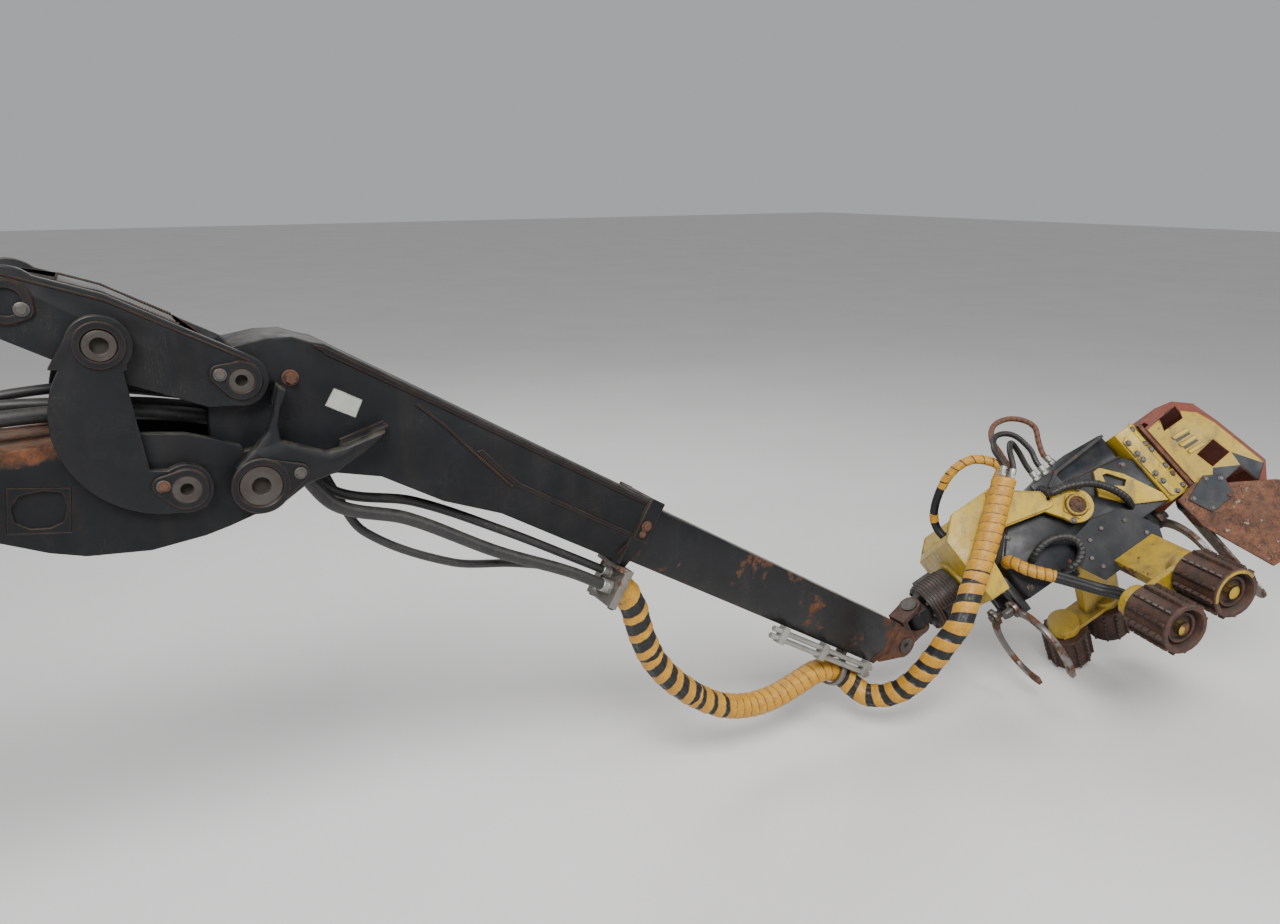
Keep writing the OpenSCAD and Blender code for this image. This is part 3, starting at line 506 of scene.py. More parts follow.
BUNDLE_RISE = [(-0.86, -0.4, -0.14), (-0.74, -0.4, -0.062), (-0.6, -0.4, 0.03), (-0.46, -0.4, 0.128),
               (-0.31, -0.398, 0.24), (-0.23, -0.398, 0.3)]
BUNDLE_SPLITS = (13, 17, 20, 23)
ARC_ONE = [(-0.242, -0.426, 0.3185), (-0.195, -0.426, 0.354), (-0.165, -0.385, 0.45), (-0.085, -0.32, 0.505),
           (0.01, -0.268, 0.465), (0.042, -0.244, 0.36), (0.025, -0.239, 0.28), (0.025, -0.239, 0.2044)]
ARC_TWO = [(-0.2155, -0.426, 0.2825), (-0.168, -0.425, 0.318), (-0.115, -0.405, 0.4), (-0.06, -0.35, 0.432),
           (-0.03, -0.28, 0.38), (-0.03, -0.239, 0.29), (-0.03, -0.239, 0.2044)]
BROWN_ARC = [(-0.213, -0.368, 0.281), (-0.165, -0.367, 0.317), (-0.135, -0.335, 0.41), (-0.09, -0.262, 0.51),
             (0.01, -0.18, 0.57), (0.13, -0.13, 0.545), (0.2, -0.108, 0.455), (0.165, -0.102, 0.365),
             (0.142, -0.1, 0.3), (0.152, -0.1, 0.2313)]
SLEEVE_ROUTE = [(-0.246, -0.376, 0.3245), (-0.199, -0.376, 0.36), (-0.225, -0.372, 0.425), (-0.3, -0.37, 0.478),
                (-0.4, -0.322, 0.48), (-0.49, -0.235, 0.43), (-0.555, -0.16, 0.36), (-0.573, -0.13, 0.3),
                (-0.573, -0.13, 0.2374)]
SMALL_ROUTE = [(-0.438, -0.2505, -0.04), (-0.438, -0.305, -0.04), (-0.405, -0.345, -0.12),
               (-0.33, -0.35, -0.21), (-0.255, -0.345, -0.3), (-0.19, -0.355, -0.385), (-0.15, -0.403, -0.446),
               (-0.15, -0.4655, -0.495)]


class Tree:
    """The nodes of a material or a group, with short ways to add the common ones."""

    def __init__(self, tree):
        self.nodes = tree.nodes
        self.links = tree.links
        self.source = None

    def feed(self, value, socket):
        """Puts a value or another node's output into a socket; a colour may come as three numbers."""
        if isinstance(value, bpy.types.NodeSocket):
            self.links.new(value, socket)
        elif socket.type == "RGBA":
            socket.default_value = (*value, 1)
        else:
            socket.default_value = value

    def add(self, kind, inputs, **settings):
        node = self.nodes.new(kind)
        for name, value in settings.items():
            setattr(node, name, value)
        for key, value in inputs.items():
            self.feed(value, node.inputs[key])
        return node

    def maths(self, operation, a, b=0.0, clamp=False):
        return self.add("ShaderNodeMath", {0: a, 1: b}, operation=operation, use_clamp=clamp).outputs[0]

    def times(self, a, b, clamp=False):
        return self.maths("MULTIPLY", a, b, clamp)

    def most(self, *values):
        """The largest of the values."""
        largest = values[0]
        for value in values[1:]:
            largest = self.maths("MAXIMUM", largest, value)
        return largest

    def vector(self, operation, a, b=(0, 0, 0)):
        return self.add("ShaderNodeVectorMath", {0: a, 1: b}, operation=operation).outputs

    def span(self, value, low, high, to_low=0.0, to_high=1.0):
        """The value mapped from low..high to to_low..to_high, kept inside."""
        return self.add("ShaderNodeMapRange", {"Value": value, "From Min": low, "From Max": high,
                                               "To Min": to_low, "To Max": to_high}).outputs[0]

    def mix(self, factor, a, b):
        """The colour between a and b."""
        node = self.add("ShaderNodeMix", {0: factor}, data_type="RGBA")
        self.feed(a, node.inputs[6])
        self.feed(b, node.inputs[7])
        return node.outputs[2]

    def place(self, output="Object"):
        """The place on the object, or its normal. One node gives it to the whole tree."""
        if self.source is None:
            self.source = self.add("ShaderNodeTexCoord", {})
        return self.source.outputs[output]

    def grain(self, scale, detail=4.0, roughness=0.6, position=None):
        if position is None:
            position = self.place()
        return self.add("ShaderNodeTexNoise", {"Vector": position, "Scale": scale, "Detail": detail,
                                               "Roughness": roughness}).outputs["Fac"]

    def stretched(self, scale, turn=(0, 0, 0)):
        """The place on the object, stretched and turned."""
        settings = {"Vector": self.place(), "Scale": scale, "Rotation": turn}
        return self.add("ShaderNodeMapping", settings).outputs[0]

    def attribute(self, name):
        return self.add("ShaderNodeAttribute", {}, attribute_name=name).outputs["Fac"]

    def use(self, name, **inputs):
        """Places a shared group and gives its outputs."""
        node = self.add("ShaderNodeGroup", {}, node_tree=bpy.data.node_groups[name])
        for key, value in inputs.items():
            self.feed(value, node.inputs[key])
        return node.outputs


def new_group(name, inputs, *outputs):
    """An empty node group with named sockets. A colour has no default, a number or a vector has one."""
    group = bpy.data.node_groups.new(name, "ShaderNodeTree")
    for label, default in inputs.items():
        kinds = {type(None): "NodeSocketColor", tuple: "NodeSocketVector"}
        kind = kinds.get(type(default), "NodeSocketFloat")
        socket = group.interface.new_socket(label, in_out="INPUT", socket_type=kind)
        if default is not None:
            socket.default_value = default
    for label in outputs:
        kind = "NodeSocketColor" if label == "Colour" else "NodeSocketFloat"
        group.interface.new_socket(label, in_out="OUTPUT", socket_type=kind)
    entry = group.nodes.new("NodeGroupInput")
    leave = group.nodes.new("NodeGroupOutput")
    return Tree(group), entry.outputs, leave.inputs


def build_groups():
    """Edge wear, corner grime and painted shade, rust, dust, scratches, streaks, a zone and the tape's turns
    with their painted shade.
    """
    tree, given, out = new_group("Edge wear", {"Width": 0.006, "Amount": 0.5}, "Mask")
    bent = tree.add("ShaderNodeBevel", {"Radius": given["Width"]}, samples=4).outputs[0]
    flat = tree.add("ShaderNodeNewGeometry", {}).outputs["Normal"]
    edge = tree.span(tree.vector("DOT_PRODUCT", bent, flat)["Value"], 0.995, 0.9)
    ragged = tree.maths("ADD", tree.times(tree.grain(55, 5, 0.7), 1.6), given["Amount"])
    tree.feed(tree.span(tree.maths("ADD", tree.times(edge, 0.75), ragged), 1.55, 1.72), out["Mask"])

    # Ambient occlusion darkens shut-in places: partly grime, partly painted shade in corners, creases and
    # bores.
    tree, given, out = new_group("Corner grime and shade", {"Reach": 0.06, "Amount": 1.0}, "Mask")
    shut = tree.add("ShaderNodeAmbientOcclusion", {"Distance": given["Reach"]}, samples=4, only_local=True)
    closed = tree.span(shut.outputs["AO"], 0.95, 0.35)
    patchy = tree.span(tree.grain(18), 0.3, 0.7, 0.5, 1.2)
    tree.feed(tree.times(tree.times(closed, patchy), given["Amount"], True), out["Mask"])

    tree, given, out = new_group("Rust", {"Scale": 5.0, "Cover": 0.3, "Dark": None, "Bright": None},
                                 "Mask", "Colour", "Height")
    limit = tree.maths("SUBTRACT", 0.78, tree.times(given["Cover"], 0.56))
    over = tree.maths("SUBTRACT", tree.grain(given["Scale"], 7, 0.68), limit)
    tree.feed(tree.span(over, -0.012, 0.03), out["Mask"])
    mixed = tree.mix(tree.span(tree.grain(21, 8, 0.72), 0.36, 0.66), given["Dark"], given["Bright"])
    spots = tree.span(tree.grain(95, 3), 0.52, 0.68)
    tree.feed(tree.mix(tree.times(spots, 0.55), mixed, (0.035, 0.018, 0.012)), out["Colour"])
    tree.feed(tree.grain(130, 6, 0.75), out["Height"])

    tree, given, out = new_group("Dust", {"Amount": 0.5, "Scale": 9.0}, "Mask")
    lying = tree.span(tree.vector("DOT_PRODUCT", tree.place("Normal"), (0, 0, 1))["Value"], 0.15, 0.95)
    blotches = tree.span(tree.grain(given["Scale"], 6, 0.7), 0.38, 0.68)
    tree.feed(tree.times(tree.times(lying, blotches), given["Amount"], True), out["Mask"])

    tree, given, out = new_group("Scratches", {"Scale": 1.0, "Amount": 0.5}, "Mask")
    sets = []
    for scale, turn, fine in (((2.0, 2.0, 90.0), (0.25, 0.1, 0.0), 7),
                              ((3.0, 3.0, 60.0), (-0.9, 0.5, 0.3), 5),
                              ((60.0, 3.0, 2.0), (0.1, 0.7, 0.4), 6)):
        line = tree.grain(given["Scale"], 2, 0.5, tree.stretched(scale, turn))
        thin = tree.span(tree.maths("ABSOLUTE", tree.maths("SUBTRACT", line, 0.5)), 0.006, 0.0)
        sets.append(tree.times(thin, tree.span(tree.grain(fine, 2), 0.55, 0.68)))
    tree.feed(tree.times(tree.most(*sets), given["Amount"], True), out["Mask"])

    tree, given, out = new_group("Rain streaks", {"Scale": 14.0, "Amount": 0.5}, "Mask")
    runs = tree.grain(given["Scale"], 5, 0.6, tree.stretched((1, 1, 0.09)))
    tree.feed(tree.times(tree.span(runs, 0.5, 0.72), given["Amount"], True), out["Mask"])

    tree, given, out = new_group("Worn zone", {"Centre": (0.0, 0.0, 0.0), "Reach": (0.1, 0.1, 0.1)}, "Mask")
    off = tree.vector("SUBTRACT", tree.place(), given["Centre"])[0]
    away = tree.vector("LENGTH", tree.vector("DIVIDE", off, given["Reach"])[0])["Value"]
    ragged = tree.maths("ADD", away, tree.times(tree.grain(16, 7, 0.7), 1.4))
    tree.feed(tree.span(ragged, 1.75, 1.45), out["Mask"])

    tree, given, out = new_group("Tape turns", {"Tape": None, "Aged": None, "Under": None, "Wear": 0.5},
                                 "Colour", "Mask", "Height")
    wrap = tree.attribute("wrap")
    on_tape = tree.span(wrap, -0.0005, 0.0008)
    seam = tree.span(wrap, 0.0035, 0.0)
    aged = tree.mix(tree.span(tree.grain(26, 6, 0.7), 0.35, 0.75, 0, 0.75), given["Tape"], given["Aged"])
    # Each turn is painted darker towards its start, where it lies under the edge of the turn before: painted
    # shade in the aged colour.
    shaded = tree.mix(tree.span(tree.attribute("across"), 1.0, 0.0, 0, 0.35), aged, given["Aged"])
    fine = tree.span(tree.grain(120, 4, 0.7), 0.5, 0.75)
    spotted = tree.mix(tree.times(fine, given["Wear"]), shaded, (0.06, 0.03, 0.016))
    edged = tree.mix(tree.times(seam, 0.8), spotted, (0.03, 0.016, 0.008))
    tree.feed(tree.mix(on_tape, given["Under"], edged), out["Colour"])
    tree.feed(on_tape, out["Mask"])
    tree.feed(tree.grain(70, 5, 0.65), out["Height"])


def start_material(name):
    material = bpy.data.materials.new(name)
    material.use_nodes = True
    return material, Tree(material.node_tree), material.node_tree.nodes["Principled BSDF"].inputs


def finish_material(tree, shader, colour, roughness, height, depth, strength):
    tree.feed(colour, shader["Base Color"])
    tree.feed(roughness, shader["Roughness"])
    bump = tree.add("ShaderNodeBump", {"Height": height, "Distance": depth, "Strength": strength})
    tree.feed(bump.outputs[0], shader["Normal"])


def dusted(tree, colour, amount, scale=9.0, share=1.0):
    """The colour under dust on upward faces, and the dust's mask."""
    lying = tree.use("Dust", Amount=amount, Scale=scale)["Mask"]
    dust = tuple(bpy.context.scene.crane_paint.dust_colour)
    return tree.mix(tree.times(lying, share), colour, dust), lying


def rust_on(tree, scale, cover):
    """The outputs of the rust of the chosen colours."""
    look = bpy.context.scene.crane_paint
    return tree.use("Rust", Scale=scale, Cover=cover, Dark=tuple(look.rust_brown),
                    Bright=tuple(look.rust_orange))


def painted(name, paint, tone, *, cover=0.2, wear=0.3, dust=0.5, dirt_and_shade=0.7, scratch=0.5, streaks=0.2,
            gloss=0.38, zones=(), specks=0.0, rust_scale=5.0, under=(0.13, 0.125, 0.12), sheen=0.5):
    """Paint over rusting steel. It fades to tone, zones are worn places, and under shows in scratches."""
    material, tree, shader = start_material(name)
    base = tree.mix(tree.span(tree.grain(3.2, 6, 0.65), 0.3, 0.75), tuple(paint), tone)
    fine = tree.span(tree.grain(48, 4, 0.7), 0.3, 0.75, 0, 0.45)
    base = tree.mix(fine, base, tuple(0.6 * c for c in paint))
    base = tree.mix(tree.use("Scratches", Scale=6.0, Amount=scratch)["Mask"], base, under)
    base = tree.mix(tree.use("Rain streaks", Amount=streaks)["Mask"], base, (0.09, 0.06, 0.035))
    edges = tree.use("Edge wear", Width=0.007, Amount=wear)["Mask"]
    base = tree.mix(edges, base, tuple(bpy.context.scene.crane_paint.rust_brown))
    rust = rust_on(tree, rust_scale, cover)
    bare = tree.most(rust["Mask"], *[tree.use("Worn zone", Centre=centre, Reach=reach)["Mask"]
                                     for centre, reach in zones])
    if specks:
        bare = tree.most(bare, tree.span(tree.grain(70, 3, 0.8), 0.74 - 0.12 * specks, 0.77 - 0.12 * specks))
    colour = tree.mix(bare, base, rust["Colour"])
    # Corners and creases go dark brown: grime and painted shade from ambient occlusion.
    corner = tree.use("Corner grime and shade", Amount=dirt_and_shade)["Mask"]
    colour, lying = dusted(tree, tree.mix(corner, colour, (0.03, 0.022, 0.015)), dust)
    smooth = tree.span(tree.grain(12, 5), 0.3, 0.7, gloss - 0.08, gloss + 0.14)
    covered = tree.most(bare, corner, lying)
    roughness = tree.most(tree.span(covered, 0.0, 1.0, 0.0, 0.9), smooth)
    height = tree.maths("SUBTRACT", tree.times(rust["Height"], bare), bare)
    height = tree.maths("ADD", height, tree.times(tree.grain(30, 3), 0.25))
    finish_material(tree, shader, colour, roughness, height, 0.0012, 0.5)
    shader["Specular IOR Level"].default_value = sheen
    return material


def rusted(name, dark, bright, *, rough_depth=0.003, dust=0.3, gloss=0.72, old_paint=None, left=0.0,
           scale=6.0):
    """Bare rusty steel, with what is left of its old paint."""
    material, tree, shader = start_material(name)
    rust = tree.use("Rust", Scale=scale, Cover=1.0, Dark=dark, Bright=bright)
    large = tree.span(tree.grain(4.5, 6, 0.7), 0.35, 0.7)
    colour = tree.mix(tree.times(large, 0.5), rust["Colour"], tuple(1.25 * c for c in dark))
    height = rust["Height"]
    if old_paint:
        kept = tree.span(tree.grain(scale * 1.3, 8, 0.72), 0.60 - 0.3 * left, 0.615 - 0.3 * left)
        colour = tree.mix(kept, colour, old_paint)
        height = tree.maths("ADD", height, kept)
    # Corners and creases go dark brown: grime and painted shade from ambient occlusion.
    corner = tree.use("Corner grime and shade", Amount=0.7)["Mask"]
    colour, _ = dusted(tree, tree.mix(corner, colour, (0.025, 0.018, 0.013)), dust)
    roughness = tree.span(rust["Height"], 0.3, 0.7, gloss, min(gloss + 0.25, 1))
    finish_material(tree, shader, colour, roughness, height, rough_depth, 0.6)
    return material


def worn_metal(name, colour, tone, gloss, metallic=1.0, rust_cover=0.3, dirt_and_shade=0.6, reach=0.02):
    """Bare steel or zinc, scraped, with rust setting in."""
    material, tree, shader = start_material(name)
    base = tree.mix(tree.span(tree.grain(9, 6, 0.7), 0.3, 0.7), colour, tone)
    lines = tree.use("Scratches", Scale=9.0, Amount=0.7)["Mask"]
    base = tree.mix(lines, base, tuple(min(1, 1.6 * c) for c in colour))
    rust = rust_on(tree, 8.0, rust_cover)
    base = tree.mix(rust["Mask"], base, rust["Colour"])
    # Shut-in places go near black: grime and painted shade from ambient occlusion.
    corner = tree.use("Corner grime and shade", Amount=dirt_and_shade, Reach=reach)["Mask"]
    base = tree.mix(corner, base, (0.02, 0.015, 0.01))
    covered = tree.most(rust["Mask"], corner)
    tree.feed(tree.span(covered, 0, 1, metallic, 0), shader["Metallic"])
    smooth = tree.span(tree.grain(25), 0.3, 0.7, gloss - 0.06, gloss + 0.12)
    roughness = tree.most(smooth, tree.times(covered, 0.85))
    finish_material(tree, shader, base, roughness, tree.grain(90), 0.0006, 0.4)
    return material


def rubber(name, colour, tone):
    """Dusty, scuffed hose rubber."""
    material, tree, shader = start_material(name)
    base = tree.mix(tree.span(tree.grain(14, 6, 0.7), 0.3, 0.75), colour, tone)
    base = tree.mix(tree.span(tree.grain(80, 5, 0.75), 0.56, 0.7, 0, 0.5), base, (0.10, 0.085, 0.065))
    base, lying = dusted(tree, base, 0.4, 16.0)
    finish_material(tree, shader, base, tree.span(lying, 0, 1, 0.5, 0.9), tree.grain(160, 3), 0.0006, 0.3)
    return material


def taped(name, tape, aged, under, wear, gloss=0.45, dust=0.35):
    """Tape wound round hoses; its turns come from the mesh's wrap attribute."""
    material, tree, shader = start_material(name)
    # aged is both the tape's aged tint and the colour of the painted shade under each turn's edge.
    turns = tree.use("Tape turns", Tape=tape, Aged=aged, Under=under, Wear=wear)
    colour, _ = dusted(tree, turns["Colour"], dust, 14.0, 0.6)
    roughness = tree.span(turns["Height"], 0.3, 0.7, gloss - 0.1, gloss + 0.25)
    finish_material(tree, shader, colour, roughness, turns["Height"], 0.0012, 0.45)
    return material


def build_finishes():
    look = bpy.context.scene.crane_paint
    black, yellow = tuple(look.boom_black), tuple(look.head_yellow)
    brown, orange, red = tuple(look.rust_brown), tuple(look.rust_orange), tuple(look.primer_red)
    grey = (0.0080, 0.0092, 0.0120)
    FINISHES.update({
        "boom": painted("Boom black paint", black, grey, cover=0.10, wear=0.22, dust=0.5, scratch=0.35,
                        streaks=0.06, gloss=0.52, sheen=0.25, zones=[((3.35, 0, -0.44), (0.16, 0.3, 0.05))]),
        "linkage": painted("Linkage black paint", black, grey, cover=0.12, wear=0.34, dust=0.5, scratch=0.5,
                           streaks=0.05, gloss=0.46, sheen=0.3),
        "jib": painted("Jib black paint", black, grey, cover=0.17, wear=0.32, dust=0.5, scratch=0.45,
                       streaks=0.07, gloss=0.52, sheen=0.25),
        "extension": painted("Extension black paint", black, grey, cover=0.34, wear=0.5, dust=0.5, scratch=0.9,
                             streaks=0.08, gloss=0.32, rust_scale=7.0, sheen=0.3),
        "head_black": painted("Head black paint", (0.004, 0.005, 0.0085), (0.010, 0.013, 0.020), cover=0.10,
                              wear=0.30, dust=0.35, scratch=0.6, streaks=0.05, gloss=0.36, sheen=0.3),
        "yellow": painted("Head yellow paint", yellow, (0.55, 0.365, 0.022), cover=0.15, wear=0.42, dust=0.18,
                          dirt_and_shade=1.0, scratch=0.6, streaks=0.7, gloss=0.42, specks=0.65, under=brown),
        "yellow_arm": painted("Feed arm yellow paint", tuple(0.85 * c for c in yellow), (0.40, 0.255, 0.018),
                              cover=0.34, wear=0.42, dust=0.25, dirt_and_shade=1.0, scratch=0.6, streaks=0.8, gloss=0.48,
                              specks=0.8, under=brown),
        "red": rusted("Worn primer red", tuple(0.7 * c for c in red), (0.235, 0.060, 0.034),
                      rough_depth=0.0015, dust=0.15, gloss=0.42, old_paint=(0.42, 0.19, 0.03), left=-0.14,
                      scale=4.0),
        "blue_grey": painted("Saw box blue grey", (0.006, 0.009, 0.015), (0.015, 0.020, 0.029), cover=0.3,
                             wear=0.5, dust=0.3, scratch=1.0, streaks=0.2, specks=0.6, gloss=0.48, sheen=0.3,
                             under=(0.12, 0.12, 0.115)),
        "plate": painted("Blank plate", (0.33, 0.34, 0.31), (0.45, 0.45, 0.41), cover=0.06, wear=0.2, dust=0.2,
                         dirt_and_shade=0.3, scratch=0.2, streaks=0.1),
        "rust": rusted("Deep rust", brown, orange, rough_depth=0.004, dust=0.2),
        "guard_rust": rusted("Flaking rust", (0.050, 0.020, 0.012), (0.22, 0.088, 0.042), rough_depth=0.006,
                             dust=0.2, old_paint=(0.30, 0.235, 0.17), left=-0.05, scale=11.0),
        "roller": rusted("Roller rust", (0.022, 0.011, 0.008), (0.115, 0.042, 0.022), rough_depth=0.003,
                         dust=0.22, gloss=0.55),
        # The pins darken strongly and far into their bores: painted shade, with some grime.
        "pin": worn_metal("Greasy pin steel", (0.085, 0.076, 0.070), (0.050, 0.038, 0.032), 0.42, 0.6, 0.22,
                          dirt_and_shade=3.0, reach=0.06),
        "steel": worn_metal("Dull steel", (0.30, 0.28, 0.26), (0.17, 0.15, 0.13), 0.42, 0.9, 0.42),
        "blade": worn_metal("Scraped blade steel", (0.24, 0.225, 0.21), (0.12, 0.10, 0.09), 0.38, 0.9, 0.5),
        "chrome": worn_metal("Rod chrome", (0.72, 0.73, 0.75), (0.62, 0.62, 0.62), 0.12, 1.0, 0.0, 0.2),
        "zinc": worn_metal("Pale zinc", (0.40, 0.40, 0.38), (0.26, 0.25, 0.22), 0.42, 0.7, 0.22, 0.8),
        "rubber": rubber("Hose rubber", (0.010, 0.010, 0.011), (0.024, 0.023, 0.022)),
        # The second colour of each tape is its aged tint and also its painted shade under each turn's edge.
        "black_tape": taped("Black spiral guard", (0.007, 0.008, 0.010), (0.014, 0.014, 0.015),
                            (0.002, 0.002, 0.002), 0.15, 0.42, 0.4),
        "brown_tape": taped("Brown tape", (0.17, 0.062, 0.030), (0.075, 0.030, 0.016), (0.006, 0.005, 0.004),
                            0.6, 0.6),
        "yellow_tape": taped("Yellow tape", tuple(look.tape_yellow), (0.30, 0.115, 0.012),
                             (0.004, 0.004, 0.005), 0.65),
        "bolt": worn_metal("Bolt steel", (0.115, 0.11, 0.105), (0.06, 0.05, 0.043), 0.45, 0.6, 0.4),
    })


def repaint(piece, place, finishes, rule):
    """Gives each face the finish that the rule picks from its middle in mm and its normal, in a local frame."""
    local = place.inverted()
    turn = local.to_3x3()
    mesh = piece.data
    mesh.materials.clear()
    for name in finishes:
        mesh.materials.append(FINISHES[name])
    for face in mesh.polygons:
        face.material_index = rule((local @ face.center) * 1000, turn @ face.normal)


class CRANE_OT_finishes(bpy.types.Operator):
    """Mixes the paints, rusts, metals and tapes"""
    bl_idname = "crane.finishes"
    bl_label = "Mix finishes"

    def execute(self, context):
        build_groups()
        build_finishes()
        return {"FINISHED"}


# The photo's camera: its place, its yaw and pitch in degrees and its lens in millimetres.
CAMERA_PLACE = (3.557, -3.051, 0.262)
CAMERA_YAW = 31
CAMERA_PITCH = 17
CAMERA_LENS = 26
FLOOR_REACH = 60
# Lamps: name, place, what they aim at, size and power.
LAMPS = (("key", (1.5, -5.5, 6.0), (5.0, 0, -0.8), 3.6, 1250),
         ("fill", (9.5, -5.0, 2.6), (7.0, 0, -1.2), 3.0, 230),
         ("rim", (6.5, 5.5, 4.5), (5.5, 0, -0.8), 4.0, 260))


class CRANE_OT_stage(bpy.types.Operator):
    """Sets up the camera, the pale floor and the soft studio light"""
    bl_idname = "crane.stage"
    bl_label = "Stage"

    def execute(self, context):
        scene = context.scene
        lens = bpy.data.cameras.new("Camera")
        lens.lens = CAMERA_LENS
        lens.sensor_width = 36
        lens.clip_end = 200
        camera = bpy.data.objects.new("Camera", lens)
        yaw = math.radians(CAMERA_YAW)
        pitch = math.radians(CAMERA_PITCH)
        right = Vector((math.cos(yaw), -math.sin(yaw), 0))
        ahead = Vector((math.sin(yaw) * math.cos(pitch), math.cos(yaw) * math.cos(pitch), -math.sin(pitch)))
        turn = Matrix((right, right.cross(ahead), -ahead)).transposed().to_4x4()
        camera.matrix_world = Matrix.Translation(CAMERA_PLACE) @ turn
        scene.collection.objects.link(camera)
        scene.camera = camera

        floor_mesh = bpy.data.meshes.new("floor")
        low = CAD_BOX[0][2] - 0.004
        corners = [(x * FLOOR_REACH, y * FLOOR_REACH, low) for x, y in ((-1, -1), (1, -1), (1, 1), (-1, 1))]
        floor_mesh.from_pydata(corners, [], [(0, 1, 2, 3)])
        material, tree, shader = start_material("Studio floor")
        tint = tree.span(tree.grain(0.7, 3), 0.3, 0.7)
        tree.feed(tree.mix(tint, (0.66, 0.65, 0.63), (0.70, 0.69, 0.67)), shader["Base Color"])
        shader["Roughness"].default_value = 0.9
        floor_mesh.materials.append(material)
        floor = bpy.data.objects.new("floor", floor_mesh)
        scene.collection.objects.link(floor)

        for name, place, aim, size, power in LAMPS:
            light = bpy.data.lights.new(name, "AREA")
            light.size = size
            light.energy = power
            lamp = bpy.data.objects.new(name, light)
            facing = (Vector(aim) - Vector(place)).to_track_quat("-Z", "Y")
            lamp.matrix_world = Matrix.Translation(place) @ facing.to_matrix().to_4x4()
            scene.collection.objects.link(lamp)

        world = bpy.data.worlds.new("Studio")
        world.use_nodes = True
        back = world.node_tree.nodes["Background"]
        back.inputs["Color"].default_value = (0.86, 0.88, 0.90, 1)
        back.inputs["Strength"].default_value = 0.5
        scene.world = world
        return {"FINISHED"}


def placed(points, place):
    return [place @ Vector(p) for p in points]


BUNDLE_RADIUS = 0.060
BUNDLE_NAMES = ("bundle_loop", "bundle_tail_link", "bundle_tail_cross", "bundle_tail_hanger", "bundle_rise")
BUNDLE_BODIES = ("jib", "extension", "swing_link", "rotator", "hanger")


class CRANE_OT_hoses(bpy.types.Operator):
    """Makes the hoses of the crane and the taped bundle down to the head"""
    bl_idname = "crane.hoses"
    bl_label = "Hoses"

    def execute(self, context):
        step = context.scene.crane_sizes.ring_step
        start, end = placed([(-0.25, 0, 0.22), (0.25, 0, -0.16)], AT_PIVOT)
        for name, route, radius in (("hose_thick", THICK_ROUTE, 0.024), ("hose_thin", THIN_ROUTE, 0.018),
                                    ("hose_third", THIRD_ROUTE, 0.016)):
            rows, _ = rows_of(placed(route, AT_PIVOT), step * 2)
            piece = hose_piece(name + "_dressed", rows, radius, "rubber",
                               bend=("main_boom", "jib", start, end), replaced=name)
            declare_hose(rows)
        self.bundle(step)

        spiral, brown = [(0, 0.013, 0.72, 0)], [(0, 0.034, 0.93, 0)]
        for name, route, finish, windings in (("hose_arc_one", ARC_ONE, "black_tape", spiral),
                                              ("hose_arc_two", ARC_TWO, "black_tape", spiral),
                                              ("hose_arc_brown", BROWN_ARC, "brown_tape", brown)):
            rows, _ = rows_of(placed(route, IN_HEAD), step / 2)
            piece = hose_piece(name + "_dressed", rows, 0.015, finish, windings=windings,
                               shingle=0.0012, bend=("hanger", "head", rows[0][0], rows[-1][0]), replaced=name)
            declare_hose(rows)

        rows, _ = rows_of(placed(SLEEVE_ROUTE, IN_HEAD), step / 2)
        far = rows[-1][3] * 0.80
        piece = hose_piece("hose_sleeve_dressed", rows, 0.024, "yellow_tape", sides=28, lobes=3,
                           windings=[(0, 0.05, 0.95, 0), (0.34, 0.05, 0.9, 0), (0.43, 0.05, 0, 0),
                                     (far, 0.05, 1.0, 0), (far + 0.045, 0.05, 0, 0)],
                           shingle=0.002, body="hanger", replaced="hose_sleeve")
        declare_hose(rows)

        rows, _ = rows_of(placed(SMALL_ROUTE, IN_HEAD), step / 2)
        piece = hose_piece("hose_small_dressed", rows, 0.032, "yellow_tape", sides=32, lobes=4,
                           windings=[(0, 0.038, 0.95, 0), (rows[-1][3] * 0.42, 0.04, 0, 0)], shingle=0.0025,
                           replaced="hose_small", bend=("head", "feed_arm_near", rows[0][0], rows[-1][0]))
        declare_hose(rows)
        return {"FINISHED"}

    def bundle(self, step):
        """The fat bundle in five stretches. Each but the last gets the two bodies at its ends and stays where
        it is made; the last rides on the hanger.
        """
        rows, marks = rows_of(placed(BUNDLE_LOW, IN_JIB) + placed(BUNDLE_RISE, IN_HEAD), step)
        edges = [0] + [marks[point] for point in BUNDLE_SPLITS] + [len(rows) - 1]
        runs = [rows[edge][3] for edge in edges]
        windings = [(0, 0.060, 1.0, 0.0), (0.085, 0.098, 0.42, 0.1), (0.44, 0.100, 0.50, 0.2),
                    (0.80, 0.083, 0.66, 0.4), (1.02, 0.046, 0.94, 0.1), (runs[1] + 0.02, 0.090, 0.60, 0.3),
                    (runs[4] - 0.25, 0.098, 0.56, 0.0), (runs[4] + 0.22, 0.060, 0.88, 0.2),
                    (runs[4] + 0.30, 0.049, 0.95, 0.5)]
        for i, name in enumerate(BUNDLE_NAMES):
            stretch = rows[edges[i]:edges[i + 1] + 1]
            last = i == len(BUNDLE_NAMES) - 1
            bend = None if last else (*BUNDLE_BODIES[i:i + 2], stretch[0][0], stretch[-1][0])
            piece = hose_piece(name + "_dressed", stretch, BUNDLE_RADIUS, "yellow_tape",
                               sides=40, lobes=7, windings=windings, shingle=0.004, body="hanger", bend=bend,
                               replaced=name)
            # Only the first and the last stretch go to declare_hose; the tails in the middle are too short to
            # count as hoses of their own.
            if i == 0 or last:
                declare_hose(stretch)


